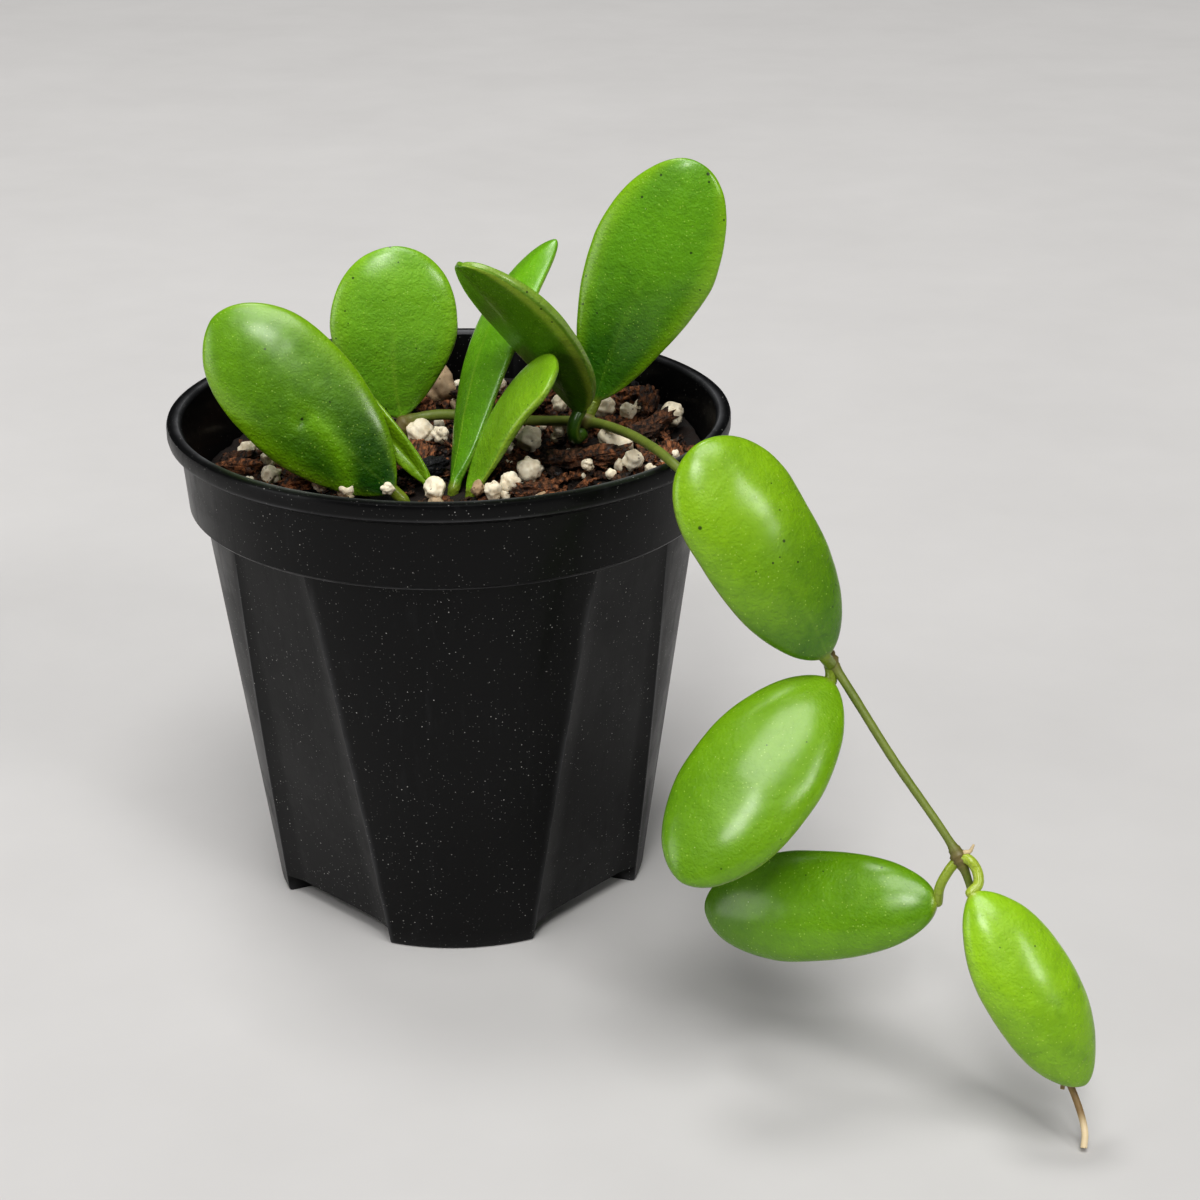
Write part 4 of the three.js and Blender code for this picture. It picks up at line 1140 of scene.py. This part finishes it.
def make_mix(leaf_surfaces):
    """Bare ground, with bark, fibres, crumbs and perlite strewn over it, then what shows."""
    clearance = BVHTree.FromPolygons(*leaf_surfaces)
    ground = make_ground(clearance)
    tree = scatter_tree("strewn over the mix")
    bark = bark_skin()
    chunks = [lump_shape(f"chunk{i}", (4.6 - 0.3 * i, 1.7 + 0.16 * i, 1.5), 4, 0.5, i + 41,
                         bend=0.25, fibrous=0.34) for i in range(6)]
    strew("mix_chunks", ground, tree, chunks, bark, "potting_mix", **{
        "Per Square Metre": 15000.0, "Smallest": 0.55, "Largest": 1.1, "Tip": 0.55,
        "Lift": 0.0011, "Reach": 0.0485, "Seed": 4})
    chips = [lump_shape(f"chip{i}", (3.2 - 0.3 * i, 1.1 + 0.1 * i, 0.7), 2, 0.75, i + 1,
                        bend=0.35, fibrous=0.3) for i in range(6)]
    strew("mix_bark", ground, tree, chips, bark, "potting_mix", **{
        "Per Square Metre": 42000.0, "Smallest": 0.4, "Largest": 1.1, "Tip": 0.7,
        "Lift": 0.0007, "Reach": 0.0503, "Seed": 3})
    fibres = [lump_shape(f"fibre{i}", (5.5 - i, 0.3, 0.24), 2, 0.6, i + 9, 0.2) for i in range(3)]
    strew("mix_fibres", ground, tree, fibres, bark, "potting_mix", **{
        "Per Square Metre": 22000.0, "Smallest": 0.4, "Largest": 1.1, "Tip": 0.6,
        "Lift": 0.0015, "Reach": 0.048, "Seed": 8})
    crumbs = [lump_shape(f"crumb{i}", (0.7, 0.6, 0.5), 1, 0.9, i + 14, 0.1) for i in range(4)]
    strew("mix_crumbs", ground, tree, crumbs, bark, "potting_mix", **{
        "Per Square Metre": 150000.0, "Smallest": 0.4, "Largest": 1.5, "Tip": 3.0,
        "Lift": 0.0002, "Reach": 0.0525, "Seed": 5})
    grains = [lump_shape(f"grain{i}", (1.05, 0.92, 0.85), 3, 0.3, i + 21, bumps=0.3)
              for i in range(5)]
    strew("mix_perlite_small", ground, tree, grains, perlite_skin(), "potting_mix", **{
        "Per Square Metre": 13000.0, "Smallest": 0.6, "Largest": 1.8, "Tip": 3.0,
        "Lift": 0.0016, "Reach": 0.0515, "Seed": 12})
    make_seen_grains(tree)
    make_seen_slabs(bark)


def make_seen_grains(tree):
    """The perlite grains that show in the picture, where they show."""
    places = np.array([on_soil((x, y)) for x, y, _ in GRAINS])
    mesh = bpy.data.meshes.new("seen")
    mesh.from_pydata(to_row(places).tolist(), [], [])
    sizes = mesh.attributes.new("size", "FLOAT", "POINT")
    sizes.data.foreach_set("value", np.array([size for *_, size in GRAINS], np.float32))
    spots = bpy.data.objects.new("seen", mesh)
    grains = [lump_shape(f"grain{i}", (1.26, 1.1, 1.0), 4, 0.3, i + 31, bumps=0.3)
              for i in range(6)]
    strew("mix_perlite_large", spots, tree, grains, perlite_skin(), "potting_mix", **{
        "On Points": True, "Tip": 3.0, "Lift": 0.0012, "Seed": 2})
    bpy.data.objects.remove(spots)


def make_seen_slabs(bark):
    """The bark slabs and charcoal that show in the picture, where they show."""
    joined = bmesh.new()
    shades = []
    for number, (x, y, size, turn, tip, shade) in enumerate(SLABS):
        slab = lump_mesh("slab", size, 4, 0.4, number + 61, bend=0.3, fibrous=0.3)
        way = Euler((0, math.radians(-tip), math.radians(turn))).to_matrix().to_4x4()
        middle = on_soil((x, y)) + (0, 0, 0.4 * size[2])
        furthest = SLAB_REACH - 1.2 * size[0]
        middle[:2] *= min(1, furthest / np.hypot(*middle[:2]))      # clear of the wall
        slab.transform(Matrix.Translation(to_row(middle)) @ way)
        joined.from_mesh(slab)
        shades.extend([shade] * len(slab.vertices))
        bpy.data.meshes.remove(slab)
    mesh = bpy.data.meshes.new("mix_slabs")
    joined.to_mesh(mesh)
    joined.free()
    mesh.attributes.new("shade", "FLOAT", "POINT").data.foreach_set("value", shades)
    mesh.polygons.foreach_set("use_smooth", [True] * len(mesh.polygons))
    mesh.materials.append(bark)
    made = bpy.data.objects.new("mix_slabs", mesh)
    bpy.context.scene.collection.objects.link(made)
    settle(made)


def peat():
    """Dark crumbly peat with pale grit."""
    def build(tree):
        place = tree.place()
        crumbs = tree.group(MOTTLE, Place=place, Scale=420.0, Contrast=3.0)
        base = tree.blend(crumbs, colour(12, 9, 7), colour(38, 25, 18))
        grit = tree.group(SPECKS, Place=place, Scale=900.0, Size=0.22, Share=0.12)
        base = tree.blend(tree.math("MULTIPLY", grit, 0.6), base, colour(150, 130, 108))
        height = tree.noise(place, 1500.0, 4.0, 0.65)
        return {"Base Color": base, "Roughness": tree.fade(crumbs, 0.2, 0.8, 0.75, 0.95),
                "Normal": tree.bump(height, 0.8, 0.0004)}

    return finish_material("peat", build)


def bark_skin():
    """Bark, fibre and charcoal, told apart by the shade of each piece."""
    def build(tree):
        place = tree.place()
        shade = tree.attribute("shade")
        grain = tree.group(STREAKS, Place=place, Stretch=(1.0, 0.35, 1.0), Scale=950.0)
        grain = tree.fade(grain, 0.38, 0.66)
        brown = tree.blend(grain, colour(50, 30, 19), colour(162, 106, 68))
        dark = tree.blend(grain, colour(18, 13, 10), colour(92, 62, 42))
        base = tree.blend(tree.fade(shade, 0.35, 0.8), dark, brown)
        base = tree.blend(tree.fade(shade, 0.14, 0.1), base, colour(20, 20, 23))
        dust = tree.group(SPECKS, Place=place, Scale=1300.0, Size=0.25, Share=0.1)
        base = tree.blend(tree.math("MULTIPLY", dust, 0.35), base, colour(150, 124, 96))
        return {"Base Color": base, "Roughness": tree.fade(grain, 0.2, 0.8, 0.55, 0.9),
                "Normal": tree.bump(grain, 0.9, 0.0004)}

    return finish_material("bark and fibre", build)


def perlite_skin():
    """Cream perlite with pits painted dark brown as shade, a few grains of it stained."""
    def build(tree):
        place = tree.place()
        shade = tree.attribute("shade")
        shaded_pits = tree.group(SPECKS, Place=place, Scale=1000.0, Size=0.26, Share=0.3)
        stain = tree.group(MOTTLE, Place=place, Scale=420.0, Contrast=2.6)
        clean = tree.blend(stain, colour(252, 243, 220), colour(226, 210, 180))
        base = tree.blend(tree.fade(shade, 0.78, 0.95), clean, colour(176, 150, 118))
        # Painted shade: the pits, also pressed in by the bump, are coloured dark brown.
        base = tree.blend(tree.math("MULTIPLY", shaded_pits, 0.6), base, colour(74, 54, 38))
        height = tree.math("SUBTRACT", tree.noise(place, 900.0, 3.0, 0.55), shaded_pits)
        return {"Base Color": base, "Roughness": tree.fade(stain, 0.2, 0.8, 0.7, 0.9),
                "Normal": tree.bump(height, 0.45, 0.0003)}

    return finish_material("perlite", build, Subsurface_Weight=0.15,
                           Subsurface_Radius=(1.0, 0.9, 0.8), Subsurface_Scale=0.0008)


# ------------------------------------------------------------------ studio

FLOOR_HALF = 6.0                # metres


def make_floor():
    """The plain surface under the pot."""
    mesh = bpy.data.meshes.new("floor")
    corners = [(-FLOOR_HALF, -FLOOR_HALF, 0), (FLOOR_HALF, -FLOOR_HALF, 0),
               (FLOOR_HALF, FLOOR_HALF, 0), (-FLOOR_HALF, FLOOR_HALF, 0)]
    mesh.from_pydata(corners, [], [(0, 1, 2, 3)])

    def build(tree):
        cloudy = tree.group(MOTTLE, Place=tree.place(), Scale=9.0, Contrast=1.4)
        return {"Base Color": tree.blend(cloudy, colour(206, 204, 202), colour(196, 194, 192))}

    mesh.materials.append(finish_material("pale floor", build, Roughness=0.85))
    floor = bpy.data.objects.new("floor", mesh)
    bpy.context.scene.collection.objects.link(floor)


def aimed(name, lamp, place, target):
    """A lamp at a place in metres about the pot's axis, turned towards a point."""
    made = bpy.data.objects.new(name, lamp)
    made.location = Vector(place) + Vector(POT_AXIS)
    aim = Vector(target) + Vector(POT_AXIS) - made.location
    made.rotation_euler = aim.to_track_quat("-Z", "Y").to_euler()
    bpy.context.scene.collection.objects.link(made)


def make_lights():
    """A broad sun overhead, two smaller ones from the front, soft boxes at the left and above."""
    soft_suns = {"key": (1.72, 36, (0.02, -0.42, 1.1)), "front": (0.68, 12, (-0.12, -0.72, 0.68)),
                 "front right": (0.46, 12, (0.6, -0.6, 0.52))}
    for name, (energy, width, place) in soft_suns.items():
        sun = bpy.data.lights.new(name, "SUN")
        sun.energy = energy
        sun.angle = math.radians(width)
        aimed(name, sun, place, (0, 0, 0))
    soft_boxes = {"left": (0.6, 2.8, (-1.1, -0.5, 0.4)), "above": (0.4, 5.5, (-0.25, 0.3, 1.55))}
    for name, (size, energy, place) in soft_boxes.items():
        lamp = bpy.data.lights.new(name, "AREA")
        lamp.size = size
        lamp.energy = energy
        aimed(name, lamp, place, (0, 0, 0.05))
    world = bpy.data.worlds.new("studio")
    world.use_nodes = True
    world.node_tree.nodes["Background"].inputs["Color"].default_value = (0.9, 0.92, 0.95, 1)
    world.node_tree.nodes["Background"].inputs["Strength"].default_value = 0.04
    bpy.context.scene.world = world
    bpy.context.scene.view_settings.view_transform = "Standard"
    bpy.context.scene.view_settings.look = "Medium High Contrast"


# ------------------------------------------------------------------ making

make_camera()
make_floor()
make_lights()
make_pot()
surfaces = ([], [])
for number, leaf_values in enumerate(LEAVES):
    make_leaf(leaf_values, number)
    leaf_points, leaf_faces, _ = leaf_skin(leaf_values)
    surfaces[1].extend(tuple(i + len(surfaces[0]) for i in f) for f in leaf_faces)
    surfaces[0].extend(Vector(p) for p in leaf_points)
make_stem()
make_mix(surfaces)
